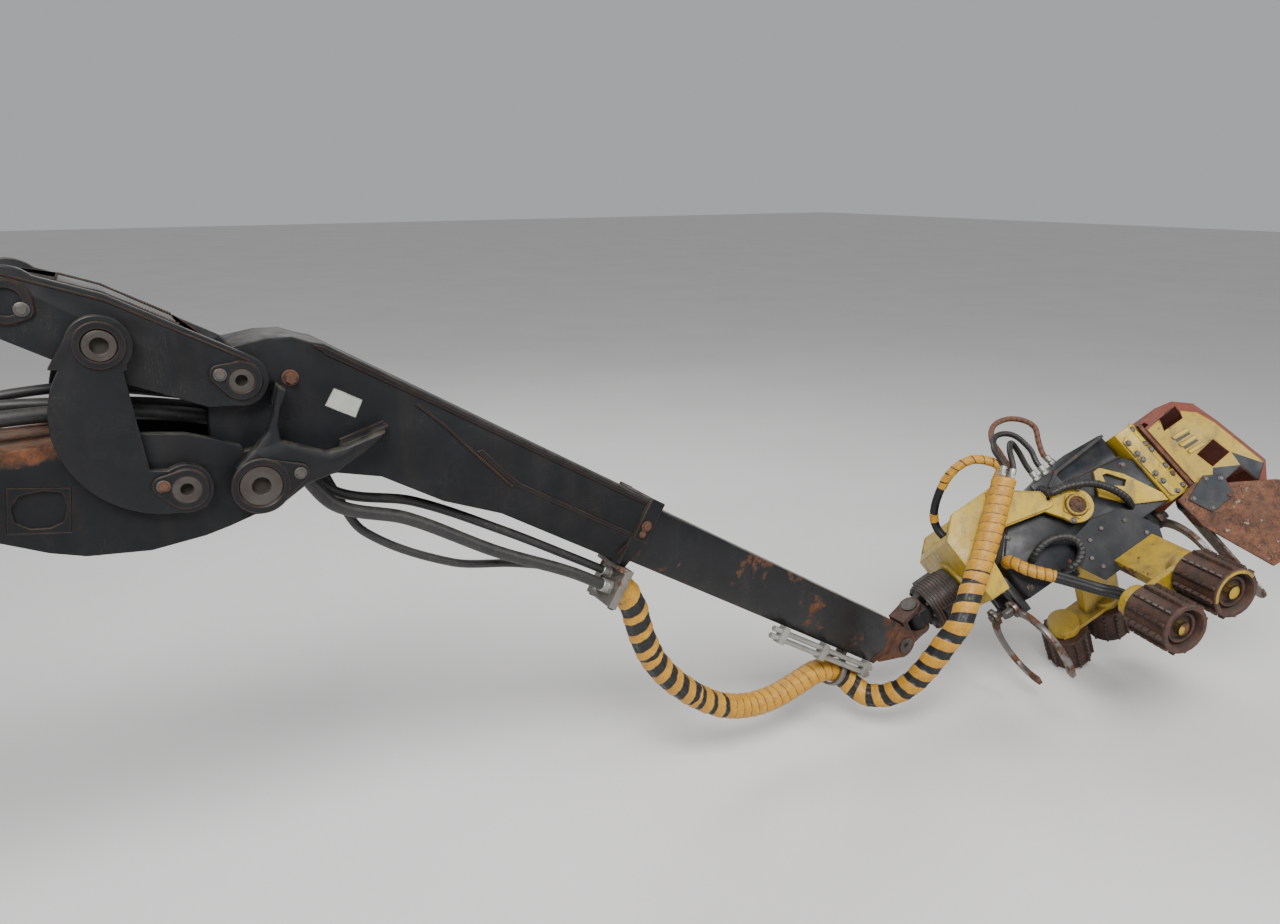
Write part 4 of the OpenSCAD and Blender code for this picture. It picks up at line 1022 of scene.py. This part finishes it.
# Finish of each painted node, and the width of its rounded edges.
NODE_LOOKS = {
    "main_boom": ("boom", 0.006), "foot_boss": ("boom", 0.006), "boom_lugs": ("boom", 0.004),
    "boom_tip": ("boom", 0.004), "boom_pipes": ("linkage", 0.001), "rocker_plates": ("linkage", 0.004),
    "upper_arm": ("linkage", 0.004), "jib": ("jib", 0.006), "jib_cylinder_barrel": ("linkage", 0.003),
    "extension": ("extension", 0.006), "extension_tip": ("rust", 0.004), "extension_pipes": ("zinc", 0.001),
    "bundle_clamp": ("steel", 0.002), "hose_bracket": ("steel", 0.002), "swing_link": ("roller", 0.004),
    "rotator_housing": ("linkage", 0.005), "hanger": ("yellow", 0.004), "head_frame": ("head_black", 0.005),
    "hood": ("head_black", 0.006), "hose_ports": ("head_black", 0.002), "window_brackets": ("yellow", 0.002),
    "side_covers": ("head_black", 0.002), "guard_box": ("yellow", 0.004), "saw_gear": ("head_black", 0.002),
    "feed_arm_near": ("yellow_arm", 0.004), "feed_arm_far": ("yellow_arm", 0.004),
    "saw_bar": ("blade", 0.002),
}
NODE_METALS = {
    "rocker_pins": "pin", "horn_pin_bar": "pin", "cylinder_foot_pin": "pin", "jib_cylinder_rod": "chrome",
    "jib_pivot_pin": "pin", "swing_pin": "pin", "cross_pin": "pin", "tilt_pins": "rust", "head_pins": "pin",
    "upper_knife_near": "blade", "upper_knife_far": "blade", "lower_knife_near": "blade",
    "lower_knife_far": "blade",
}


class CRANE_OT_plates(bpy.types.Operator):
    """Rounds the edges of the steel parts and paints them"""
    bl_idname = "crane.plates"
    bl_label = "Painted steelwork"

    def execute(self, context):
        for node, (finish, width) in NODE_LOOKS.items():
            softened(node, finish, width)
        for node, finish in NODE_METALS.items():
            softened(node, finish, 0.0015)
        return {"FINISHED"}


# Pieces added to the frame. Outlines are X and Z in millimetres in their own frame.
CASTING = [(-88, 300), (-59, 201), (-53, 157), (-64, 95), (-88, 20), (-62, -62), (0, -90), (66, -60),
           (90, -20), (125, 53), (188, 118), (249, 228), (284, 319), (179, 205), (136, 169), (73, 160),
           (-5, 147), (-32, 186), (-49, 235), (-54, 294)]
CASTING_LIPS = ([(-88, 300), (-66, 225), (-46, 225), (-54, 294)],
                [(196, 134), (249, 228), (284, 319), (179, 205)])
POCKET = [(-630, 30), (-606, 62), (-550, 66), (-506, 54), (-500, 12), (-514, -30), (-549, -44), (-596, -38),
          (-628, -14)]
POCKET_TURN = 9
POCKET_PLATE = ((-74.6, -64.6), (74.6, -64.6), (74.6, 64.6), (-74.6, 64.6))
ROCKER_FOOT = (-200, 22)
ROCKER_TOP = (-359, 455)
HORN_PIN = (-12, 316)
ARM_EYE = (-550, 581)
ROCKER_FACE = 190
ARM_FACE = 155
# Rings round the pins: place, outer and inner radius, and the face they stand on.
PIN_RINGS = {"rocker": ((ROCKER_FOOT, 62, 44, ROCKER_FACE), (ROCKER_TOP, 66, 44, ROCKER_FACE)),
             "upper_arm": ((HORN_PIN, 60, 42, ARM_FACE), (ARM_EYE, 62, 40, ARM_FACE))}
# Lock bolts beside the pins: place, face they stand on, body, then the pin's place and its plate's radius.
LOCK_BOLTS = (((115, 23), 198, "jib", (0, 0), 84), ((-69, 340), ARM_FACE, "upper_arm", HORN_PIN, 58),
              ((-260, 41), ROCKER_FACE, "rocker", ROCKER_FOOT, 60),
              ((-518, 560), ARM_FACE, "upper_arm", ARM_EYE, 58))
BOOM_SIDE = 130
JIB_SIDE = 116
COLLAR = 1388
# Radius of the rotator, and where its drum starts and ends past the cross pin.
ROTATOR = (125, 70, 262)
HEAD_SIDE = 250
COVER_PLATE = [(24, -132), (172, -171), (242, -308), (228, -338), (-92, -338), (-130, -262), (-62, -148)]
SAW_COVER = [(428, -262), (556, -235), (640, -300), (880, -440), (955, -500), (935, -640), (770, -780),
             (575, -760), (440, -430)]
SAW_COVER_FACE = -311.5
SAW_PANEL = [(609, -231), (694, -283), (660, -392), (520, -400), (466, -285)]
# Formed hoses on the head, in metres: over the hood's side, and in a loop low on the near side.
HOOD_HOSE = [(-0.045, -0.235, 0.16), (-0.075, -0.30, 0.155), (-0.07, -0.35, 0.12), (0.0, -0.362, 0.103),
             (0.054, -0.362, 0.082), (0.11, -0.357, 0.054), (0.16, -0.345, 0.012), (0.205, -0.33, -0.05),
             (0.235, -0.305, -0.11), (0.25, -0.262, -0.15), (0.25, -0.24, -0.16)]
LOOP_HOSE = [(-0.33, -0.24, -0.10), (-0.33, -0.30, -0.09), (-0.28, -0.335, -0.065), (-0.20, -0.345, -0.07),
             (-0.13, -0.34, -0.115), (-0.12, -0.325, -0.18), (-0.17, -0.315, -0.225), (-0.22, -0.29, -0.23),
             (-0.23, -0.24, -0.225)]


def both(face):
    """The face on either side of the middle, each with its way out."""
    return ((face, 1), (-face, -1))


def layers(near, far):
    """The two ends of a plate on either side of the middle."""
    return ((-far, -near), (near, far))


def circle(radius, count, x=0, z=0):
    return [(x + radius * math.cos(math.tau * k / count), z + radius * math.sin(math.tau * k / count))
            for k in range(count)]


def drop_shape(middle, radius, end, small):
    """The outline round a large and a small circle, such as a lock plate."""
    step = Vector(end) - Vector(middle)
    turn = math.atan2(step.y, step.x)
    lean = math.acos((radius - small) / step.length)
    outline = []
    for centre, reach, start, stop in ((end, small, turn - lean, turn + lean),
                                       (middle, radius, turn + lean, turn - lean + math.tau)):
        for k in range(17):
            a = start + (stop - start) * k / 16
            outline.append((centre[0] + reach * math.cos(a), centre[1] + reach * math.sin(a)))
    return outline


def holds(outline, x, z):
    """Whether the outline goes round the point."""
    inside = False
    for (x0, z0), (x1, z1) in zip(outline, outline[1:] + outline[:1]):
        if (z0 > z) != (z1 > z) and x < (x1 - x0) * (z - z0) / (z1 - z0) + x0:
            inside = not inside
    return inside


def bead_of(context):
    """Radius of the weld beads, in millimetres."""
    return context.scene.crane_sizes.weld_radius * 1000


class CRANE_OT_linkage(bpy.types.Operator):
    """Adds rings, lock plates, bolts and welds to the linkage, and the cast fork of the jib"""
    bl_idname = "crane.linkage"
    bl_label = "Linkage details"

    def execute(self, context):
        bead = bead_of(context)
        for body, rings in PIN_RINGS.items():
            with new_piece(body + "_bosses", "linkage", body) as bm:
                for (x, z), outer, inner, face in rings:
                    for y, out in both(face):
                        ring_boss(bm, AT_PIVOT, (x, y - out, z), (0, out, 0), outer, inner, 7)
        with new_piece("jib_pin_bosses", "linkage", "jib") as bm:
            for y, out in both(203):
                ring_boss(bm, AT_PIVOT, (0, y - out, 0), (0, out, 0), 86, 63, 9)

        for body in ("jib", "upper_arm", "rocker"):
            with new_piece(body + "_lock_plates", "linkage", body) as bm:
                for end, face, owner, pin, radius in LOCK_BOLTS:
                    if owner == body:
                        for y0, y1 in layers(face - 1, face + 9):
                            plate(bm, AT_PIVOT, drop_shape(pin, radius, end, 29), y0, y1,
                                  [circle(radius - 22, 40, *pin)], edge=2)
            with new_piece(body + "_lock_bolts", "bolt", body) as bm:
                for k, ((x, z), face, owner, _, _) in enumerate(LOCK_BOLTS):
                    if owner == body:
                        for y, out in both(face + 9):
                            bolt(bm, AT_PIVOT, (x, y, z), (0, out, 0), 14, 11, 0.17 * k)

        # Beads inside the arm's side plates and along their top edge.
        with new_piece("upper_arm_welds", "linkage", "upper_arm") as bm:
            for y, out in both(127):
                weld(bm, AT_PIVOT, [(-430, y - out, 622), (-330, y - out, 586), (-150, y - out, 484)], bead)
            for y, _ in both(ARM_FACE):
                weld(bm, AT_PIVOT, [(-549, y, 651), (-330, y, 571), (-71, y, 422), (20, y, 370)], bead * 0.6)

        # The cast fork with thick, rounded arms, and the lips that reach in to the jib's box.
        with new_piece("jib_castings_dressed", "linkage", "jib", degrees=50, replaced="jib_castings") as bm:
            for y0, y1 in layers(160, 198):
                plate(bm, IN_JIB, CASTING, y0, y1, [circle(46, 40)], edge=7, corner=14)
            for y0, y1 in layers(116, 161):
                for lip in CASTING_LIPS:
                    plate(bm, IN_JIB, lip, y0, y1, edge=2)
        with new_piece("casting_welds", "linkage", "jib") as bm:
            for y, _ in both(JIB_SIDE):
                weld(bm, IN_JIB, [(-50, y, 296), (-44, y, 228)], bead * 1.2)
                weld(bm, IN_JIB, [(196, y, 134), (249, y, 226), (284, y, 321)], bead * 1.3)
                weld(bm, IN_JIB, [(179, y, 207), (282, y, 321)], bead * 1.3)
        return {"FINISHED"}


class CRANE_OT_boom(bpy.types.Operator):
    """Adds welds, side plates, the cheeks' pockets and the clamps' bolts to the main boom"""
    bl_idname = "crane.boom"
    bl_label = "Main boom details"

    def execute(self, context):
        bead = bead_of(context)
        with new_piece("boom_welds", "boom", "main_boom") as bm:
            for y, _ in both(BOOM_SIDE):
                weld(bm, AT_PIVOT, [(-782, y, -20), (-782, y, 200)], bead * 1.3)
                weld(bm, AT_PIVOT, [(-444, y, -150), (-471, y, -146), (-557, y, -118), (-666, y, -66),
                                    (-774, y, -22)], bead)
                weld(bm, AT_PIVOT, [(-778, y, 190), (-630, y, 178), (-425, y, 178)], bead)
                weld(bm, AT_BOOM, [(115 * math.cos(a), y, 115 * math.sin(a)) for a in
                                   [math.radians(-100 + 10 * k) for k in range(21)]], bead * 1.5)
            for y, _ in both(72):
                weld(bm, AT_PIVOT, [(-2176, y, 318), (-1915, y, 272)], bead * 1.5)
            for y, _ in both(95):
                weld(bm, AT_BOOM, [(1064, y, -456), (1105, y, -477), (1395, y, -489), (1436, y, -497)],
                     bead * 1.5)

        lean = math.radians(POCKET_TURN)
        corners = [(-567 + x * math.cos(lean) + z * math.sin(lean),
                    12 - x * math.sin(lean) + z * math.cos(lean))
                   for x, z in POCKET_PLATE]
        with new_piece("cheek_pockets", "boom", "main_boom") as bm:
            for y0, y1 in layers(143.2, 154.8):
                plate(bm, AT_PIVOT, corners, y0, y1, [POCKET], edge=0.5, hole_corner=18)
        with new_piece("boom_side_plates", "boom", "main_boom") as bm:
            for y0, y1 in layers(129.5, 134):
                side = [(700, -60), (1650, -228), (1650, -392), (1180, -392), (700, -262)]
                plate(bm, AT_BOOM, side, y0, y1, edge=2, corner=30)
        slope = (3940 - 790) / math.cos(math.radians(BOOM_SLOPE)) - 14
        with new_piece("pipe_clamp_bolts", "bolt", "main_boom") as bm:
            for x in (525, 1325, slope - 810, slope - 110):
                for y in (-112, -84, 78, 105, 132):
                    bolt(bm, IN_SLOPE, (x, y, 54), (0, 0, 1), 9, 8, 0.1 * y)
        return {"FINISHED"}


class CRANE_OT_jib(bpy.types.Operator):
    """Adds the weld seam, the strips, the blank plate and the collar's bolts to the jib"""
    bl_idname = "crane.jib"
    bl_label = "Jib details"

    def execute(self, context):
        bead = bead_of(context)
        with new_piece("jib_welds", "jib", "jib") as bm:
            for y, _ in both(JIB_SIDE):
                weld(bm, IN_JIB, [(350, y, 417), (480, y, 390), (620, y, 348), (815, y, 294)], bead)
                weld(bm, IN_JIB, [(COLLAR, y, 186), (COLLAR, y, 300), (COLLAR, y, 462)], bead)
            weld(bm, IN_JIB, [(COLLAR, -114, 466), (COLLAR, 114, 466)], bead)

        # Strips along the side and the top edge, and the collar's thicker half.
        with new_piece("jib_strips", "jib", "jib") as bm:
            for y0, y1 in layers(115.5, 121):
                slant = [(620, 356), (815, 302), (1380, 302), (1380, 318), (830, 318), (640, 372)]
                plate(bm, IN_JIB, slant, y0, y1, edge=2, corner=6)
                upper = [(-40, 446), (0, 456), (1385, 456), (1385, 440), (420, 440), (20, 436)]
                plate(bm, IN_JIB, upper, y0, y1, edge=2, corner=4)
            for y0, y1 in layers(125, 130):
                plate(bm, IN_JIB, [(COLLAR, 300), (1457, 300), (1457, 476), (COLLAR, 476)], y0, y1,
                      edge=2, corner=5)
        with new_piece("jib_blank_plate", "plate", "jib") as bm:
            plate(bm, IN_JIB, [(86, 353), (185, 356), (191, 294), (86, 290)], -118.5, -116.2,
                  edge=0.6, corner=3)
        with new_piece("jib_bolts", "rust", "jib", "worn_steel") as bm:
            bolt(bm, IN_JIB, (-46, -116, 326), (0, -1, 0), 19, 22, 0.2)
            for y, out in both(130):
                bolt(bm, IN_JIB, (1421, y, 365), (0, out, 0), 17, 13, 0.3)
                bolt(bm, IN_JIB, (1421, y, 330), (0, out, 0), 11, 9, 0.1)
            for x in (1471, 1479):
                for y in (-88, 68):
                    bolt(bm, IN_JIB, (x, y, 5.5), (0, 0, -1), 10, 8, 0.2)
        return {"FINISHED"}


class CRANE_OT_hanger(bpy.types.Operator):
    """Adds the plates, rings, caps, bolts and welds of the hanger"""
    bl_idname = "crane.hanger"
    bl_label = "Hanger details"

    def execute(self, context):
        boss = [(74 * math.cos(math.radians(a)), 74 * math.sin(math.radians(a)))
                for a in (100, 172, 244, 316, 28)]
        with new_piece("hanger_bosses", "yellow", "hanger") as bm:
            for y0, y1 in layers(329, 337):
                plate(bm, IN_HEAD, boss, y0, y1, [circle(45, 40)], edge=3, corner=10)
        # The thicker plate on each side arm, with the hole of its transport bolt.
        arm = [(-330, 300), (-300, 300), (-84, 137), (-60, 104), (-98, 58), (-143, 66), (-396, 126)]
        with new_piece("hanger_arm_plates", "yellow", "hanger") as bm:
            for y0, y1 in layers(329, 338):
                plate(bm, IN_HEAD, arm, y0, y1, [circle(14, 24, -90, 102)], edge=2, corner=8)
        with new_piece("tilt_pin_rings", "yellow", "hanger") as bm:
            for y, out in both(341):
                ring_boss(bm, IN_HEAD, (0, y, 0), (0, out, 0), 54, 42, 12)
        with new_piece("tilt_pin_caps", "rust", "hanger", "rusty_steel") as bm:
            for y, out in both(342):
                lathe(bm, IN_HEAD, (0, y, 0), (0, out, 0),
                      [(42, 0), (42, 2), (30, 3), (27, 1), (14, 2), (12, 6), (0, 6)], 32)
                for k in range(3):
                    a = math.tau * (k + 0.2) / 3
                    centre = (28 * math.cos(a), y + out * 1.5, 28 * math.sin(a))
                    bolt(bm, IN_HEAD, centre, (0, out, 0), 8, 8, 0.3 * k)
        with new_piece("hanger_bolts", "bolt", "hanger") as bm:
            for y, out in both(337):
                bolt(bm, IN_HEAD, (58, y, 62), (0, out, 0), 12, 10, 0.2)
                bolt(bm, IN_HEAD, (-64, y, -52), (0, out, 0), 12, 10, 0.5)
        with new_piece("hanger_welds", "yellow", "hanger") as bm:
            for y, _ in both(300):
                weld(bm, IN_HEAD, [(-86, y, 40), (-120, y, 96), (-200, y, 120)], bead_of(context))
        return {"FINISHED"}


class CRANE_OT_head(bpy.types.Operator):
    """Adds the cover plate, bolts, strips, welds and two short hoses to the head"""
    bl_idname = "crane.head"
    bl_label = "Head details"

    def execute(self, context):
        bead = bead_of(context)
        with new_piece("near_cover", "head_black", "head") as bm:
            plate(bm, IN_HEAD, COVER_PLATE, -284, -278, edge=1.5, corner=16)
            plate(bm, IN_HEAD, inset(COVER_PLATE, 34), -289, -283, edge=1.5, corner=12)
        with new_piece("head_bolts", "bolt", "head") as bm:
            for x, z in ((40, -160), (160, -194), (206, -300), (-78, -312), (-96, -250), (-44, -176)):
                bolt(bm, IN_HEAD, (x, -284, z), (0, -1, 0), 12, 10, 0.01 * x)
            for x in (-300, -180, -40, 90):
                lathe(bm, IN_HEAD, (x, -HEAD_SIDE, -206), (0, -1, 0), [(11, 0), (11, 5), (7, 9), (0, 9)], 12)
            for y, out in both(HEAD_SIDE):
                for x, z in ((-420, -60), (-420, -200), (-352, 60), (360, 30), (-230, 112)):
                    bolt(bm, IN_HEAD, (x, y, z), (0, out, 0), 13, 10, 0.013 * x)
        with new_piece("hood_strips", "blue_grey", "head") as bm:
            for y0, y1 in layers(249, 256):
                strip = [(-20, 150), (60, 196), (384, 214), (384, 198), (70, 180), (-10, 136)]
                plate(bm, IN_HEAD, strip, y0, y1, edge=1.5, corner=4)
        step = context.scene.crane_sizes.ring_step / 2
        for name, route, radius, finish in (("hood_hose", HOOD_HOSE, 0.021, "black_tape"),
                                            ("loop_hose", LOOP_HOSE, 0.020, "rubber")):
            rows, _ = rows_of(placed(route, IN_HEAD), step)
            hose_piece(name, rows, radius, finish, windings=[(0, 0.022, 0.7, 0)],
                       shingle=0.004, body="head")
        with new_piece("head_welds", "head_black", "head") as bm:
            for y, _ in both(HEAD_SIDE):
                weld(bm, IN_HEAD, [(-448, y, -228), (-448, y, -30), (-296, y, 128), (-70, y, 130)], bead)
            for y, _ in both(244):
                weld(bm, IN_HEAD, [(-58, y, 142), (380, y, 70)], bead)
        return {"FINISHED"}


class CRANE_OT_guards(bpy.types.Operator):
    """Adds the bolted guard plates, the saw box's paint and the rough plate under it"""
    bl_idname = "crane.guards"
    bl_label = "Guards and saw box"

    def execute(self, context):
        # Three overlapping yellow plates with bolts on each side of the guard box, and a rusty ridge.
        with new_piece("guard_plates", "yellow", "head") as bm:
            for y0, y1 in layers(268, 276):
                for outline, shift in (([(430, 118), (528, 184), (532, 40), (430, 20)], 0),
                                       ([(430, 12), (536, 34), (536, -112), (434, -120)], 3),
                                       ([(436, -128), (538, -120), (538, -238), (470, -246), (440, -226)], 0)):
                    plate(bm, IN_HEAD, outline, y0 + shift, y1 + shift, edge=1.5, corner=5)
        with new_piece("guard_ridges", "guard_rust", "head") as bm:
            for y0, y1 in layers(284, 292):
                plate(bm, IN_HEAD, [(541, 150), (560, 150), (560, -236), (541, -240)], y0, y1,
                      edge=2, corner=4)
        with new_piece("guard_bolts", "bolt", "head") as bm:
            for y, out in both(276):
                for x, z in ((448, 100), (512, 146), (448, 34), (512, 52), (450, -6), (518, 12), (452, -96),
                             (518, -90), (456, -146), (518, -142), (480, -224), (518, -216)):
                    bolt(bm, IN_HEAD, (x, y, z), (0, out, 0), 12, 10, 0.01 * x)

        # The saw box: red rim and arch, yellow sides, and dark blue grey low on them.
        shell = softened("saw_box", "red", 0.005)
        repaint(shell, IN_HEAD, ("red", "yellow_arm", "blue_grey"), self.part_of_shell)
        with new_piece("saw_box_ribs", "yellow", "head") as bm:
            for y0, y1 in layers(299, 307):
                for x, z in ((628, 8), (632, -42), (642, -92)):
                    plate(bm, IN_HEAD, [(x, z), (x + 96, z - 8), (x + 100, z - 30), (x + 2, z - 24)], y0, y1,
                          edge=2, corner=6)
        # Thin near-black sheets between the ribs stand for the slots: painted shade where openings would be.
        with new_piece("saw_box_slot_shade", "rubber", "head") as bm:
            for y0, y1 in layers(299.5, 301.5):
                for x, z in ((634, -18), (640, -68)):
                    plate(bm, IN_HEAD, [(x, z), (x + 84, z - 6), (x + 86, z - 18), (x + 2, z - 14)], y0, y1,
                          edge=0.5, corner=4)
        with new_piece("saw_panel", "blue_grey", "head") as bm:
            plate(bm, IN_HEAD, SAW_PANEL, -319, SAW_COVER_FACE, edge=2, corner=8)
        with new_piece("saw_panel_bolts", "bolt", "head") as bm:
            for x, z in ((606, -252), (668, -292), (644, -378), (532, -382), (490, -296)):
                bolt(bm, IN_HEAD, (x, -319, z), (0, -1, 0), 10, 8, 0.02 * x)
        with new_piece("saw_cover_crust", "guard_rust", "head") as bm:
            self.crust(bm)
        cover = softened("saw_cover", "guard_rust", 0.004)
        repaint(cover, IN_HEAD, ("guard_rust", "rust"), lambda place, normal: int(normal.y > 0.5))
        return {"FINISHED"}

    def part_of_shell(self, place, normal):
        if abs(place.y) < 296 or abs(normal.y) < 0.8:
            return 0
        return 2 if place.z < -232 - 0.28 * (place.x - 609) else 1

    def crust(self, bm):
        """Flakes of rust strewn over the cover's outer face, apart from where the panel lies on it."""
        chance = random.Random(7)
        inner = inset(SAW_COVER[::-1] if area_of(SAW_COVER) < 0 else SAW_COVER, 14)
        for _ in range(1500):
            x, z = chance.uniform(430, 955), chance.uniform(-780, -235)
            patch = noise.noise(Vector((x, z, 0)) * 0.011)
            if not holds(inner, x, z) or holds(SAW_PANEL, x, z):
                continue
            if patch + chance.uniform(-0.35, 0.35) < -0.05:
                continue
            size = chance.uniform(3.5, 11)
            high = chance.uniform(1.2, 3.6)
            centre = Vector((x, SAW_COVER_FACE, z))
            rim = [centre + Vector((math.cos(a), 0, math.sin(a))) * size * chance.uniform(0.6, 1.15)
                   for a in [math.tau * k / 7 for k in range(7)]]
            low = [bm.verts.new(at(IN_HEAD, *p)) for p in rim]
            top = []
            for p in rim:
                raised = Vector((0, high * chance.uniform(0.7, 1), 0))
                top.append(bm.verts.new(at(IN_HEAD, *(centre.lerp(p, 0.72) - raised))))
            for k in range(7):
                m = (k + 1) % 7
                bm.faces.new((low[k], low[m], top[m], top[k]))
            bm.faces.new(top)


# A feed roller's drum as radius and height: a rim round each end, and a hub in its hollow low end.
DRUM = [(34, -655), (34, -622), (56, -620), (60, -634), (72, -636), (78, -622), (88, -620), (92, -652),
        (96, -660), (113, -660), (117, -656), (117, -646), (113, -640), (113, -440), (117, -434),
        (117, -424), (113, -420), (80, -420), (34, -424), (34, -655)]
RIBS = 12
RIB_LOW = -652
RIB_LENGTH = 224
TOOTH_FOOT = 111
TOOTH_TIP = 130


class CRANE_OT_rollers(bpy.types.Operator):
    """Makes the toothed feed rollers"""
    bl_idname = "crane.rollers"
    bl_label = "Feed rollers"

    def execute(self, context):
        teeth = context.scene.crane_sizes.roller_teeth
        for side, row, x in ((-1, "near_rear", -150), (-1, "near_front", 135), (1, "far_rear", -150),
                             (1, "far_front", 135)):
            node = "roller_" + row
            place = in_arm(side)
            with new_piece(node + "_dressed", "roller", body_of_node(node), slot_of(node),
                           replaced=node) as bm:
                lathe(bm, place, (x, 0, 0), (0, 0, 1), DRUM, 60)
                for rib in range(RIBS):
                    turn = math.tau * (rib + 0.5) / RIBS
                    for k in range(teeth):
                        low = RIB_LOW + RIB_LENGTH * k / teeth
                        self.tooth(bm, place, x, turn, low, low + RIB_LENGTH / teeth - 5)
            repaint(bpy.data.objects[node + "_dressed"], place, ("roller", "pin", "yellow_arm"),
                    lambda p, n, x=x, row=row: self.part_of_roller(p, n, x, row))
        return {"FINISHED"}

    def tooth(self, bm, place, x, turn, low, high):
        out = Vector((math.cos(turn), math.sin(turn), 0))
        across = Vector((-out.y, out.x, 0)) * 8
        corners = []
        for reach, z, thick in ((TOOTH_FOOT, low, 1), (TOOTH_TIP, low + 4, 0.55),
                                (TOOTH_FOOT, high, 1), (TOOTH_TIP, high - 3, 0.55)):
            for half in (across * -thick, across * thick):
                corners.append(bm.verts.new(at(place, *(Vector((x, 0, z)) + out * reach + half))))
        for quad in ((0, 1, 3, 2), (4, 6, 7, 5), (0, 2, 6, 4), (1, 5, 7, 3), (2, 3, 7, 6)):
            bm.faces.new([corners[i] for i in quad])

    def part_of_roller(self, place, normal, x, row):
        radius = math.hypot(place.x - x, place.y)
        if radius > 127:
            return 1
        if row == "near_front" and normal.z < -0.6 and 96 < radius < 112 and place.y < -20:
            return 2
        return 0


class CRANE_OT_tip(bpy.types.Operator):
    """Adds the seams of the extension, the link's bolts and the rotator's ribs"""
    bl_idname = "crane.tip"
    bl_label = "Extension, link and rotator details"

    def execute(self, context):
        with new_piece("extension_seams", "rust", "extension") as bm:
            for y, _ in both(60):
                weld(bm, IN_JIB, [(1600, y, 424), (3080, y, 424)], bead_of(context) * 0.6)
        with new_piece("link_bolts", "steel", "swing_link") as bm:
            for y, out in both(50):
                bolt(bm, IN_LINK, (-4, y, 50), (0, out, 0), 12, 10, 0.3)

        # Cooling ribs and flange bolts round the rotator.
        radius, back, front = ROTATOR
        with new_piece("rotator_ribs", "roller", "rotator") as bm:
            for x in [back + 14 + 17 * k for k in range(int((front - back - 30) / 17))]:
                lathe(bm, IN_CROSS, (x, 0, 0), (1, 0, 0), [(radius - 4, 0), (radius + 5, 2), (radius + 5, 7),
                                                           (radius - 4, 9)], 48)
            for k in range(10):
                a = math.tau * (k + 0.5) / 10
                ring = radius - 14
                bolt(bm, IN_CROSS, (back, ring * math.cos(a), ring * math.sin(a)), (-1, 0, 0), 9, 8)
        return {"FINISHED"}


class CRANE_OT_couplings(bpy.types.Operator):
    """Adds the couplings at the ends of the boom's hoses and of the arcs on the head"""
    bl_idname = "crane.couplings"
    bl_label = "Couplings"

    def execute(self, context):
        for body, way in (("main_boom", 1), ("jib", -1)):
            with new_piece(body + "_couplings", "zinc", body) as bm:
                for route, radius in ((THICK_ROUTE, 24), (THIN_ROUTE, 18), (THIRD_ROUTE, 16)):
                    self.coupling(bm, AT_PIVOT, route[::way], 3, radius)
        for body, way in (("head", -1), ("hanger", 1)):
            for arc in (ARC_ONE, ARC_TWO, BROWN_ARC):
                route = arc[::way]
                label = "arc_coupling_" + body + "_" + str(round(abs(route[0][0]) * 1000))
                with new_piece(label, "zinc", body) as bm:
                    self.coupling(bm, IN_HEAD, route, 2, 15)
        return {"FINISHED"}

    def coupling(self, bm, place, route, gap, radius):
        """A nut and a ribbed ferrule at the start of a route, in millimetres."""
        start = Vector(route[0]) * 1000
        out = (Vector(route[1]) * 1000 - start).normalized()
        start += out * gap
        lathe(bm, place, start, out, [(radius * 0.4, 0), (radius + 5, 0), (radius + 6, 3), (radius + 6, 16),
                                      (radius + 3, 18), (radius * 0.4, 18)], 6)
        lathe(bm, place, start + out * 18, out,
              [(radius * 0.4, 0), (radius + 2.5, 0), (radius + 2.5, 6), (radius + 3.5, 8), (radius + 2.5, 12),
               (radius + 3.5, 16), (radius + 2.5, 20), (radius + 3.5, 24), (radius + 3.5, 32),
               (radius + 1.5, 34), (radius * 0.4, 34)], 24)


MAKERS = (CRANE_OT_finishes, CRANE_OT_stage, CRANE_OT_hoses, CRANE_OT_plates, CRANE_OT_linkage, CRANE_OT_boom,
          CRANE_OT_jib, CRANE_OT_hanger, CRANE_OT_head, CRANE_OT_guards, CRANE_OT_rollers, CRANE_OT_tip,
          CRANE_OT_couplings)


class CRANE_PT_panel(bpy.types.Panel):
    """Lists the makers of the crane boom's pieces"""
    bl_idname = "CRANE_PT_panel"
    bl_label = "Harvester crane boom"
    bl_space_type = "VIEW_3D"
    bl_region_type = "UI"
    bl_category = "Harvester"

    def draw(self, context):
        layout = self.layout
        for settings in (context.scene.crane_paint, context.scene.crane_sizes):
            for name in settings.__annotations__:
                layout.prop(settings, name)
        for maker in MAKERS:
            layout.operator(maker.bl_idname)


CLASSES = (PaintSettings, SizeSettings, *MAKERS, CRANE_PT_panel)


def register():
    for cls in CLASSES:
        bpy.utils.register_class(cls)
    bpy.types.Scene.crane_paint = PointerProperty(type=PaintSettings)
    bpy.types.Scene.crane_sizes = PointerProperty(type=SizeSettings)


def unregister():
    del bpy.types.Scene.crane_sizes
    del bpy.types.Scene.crane_paint
    for cls in reversed(CLASSES):
        bpy.utils.unregister_class(cls)


def main():
    register()
    for maker in MAKERS:
        group, _, call = maker.bl_idname.partition(".")
        getattr(getattr(bpy.ops, group), call)()
    bpy.context.view_layer.update()


if __name__ == "__main__":
    main()
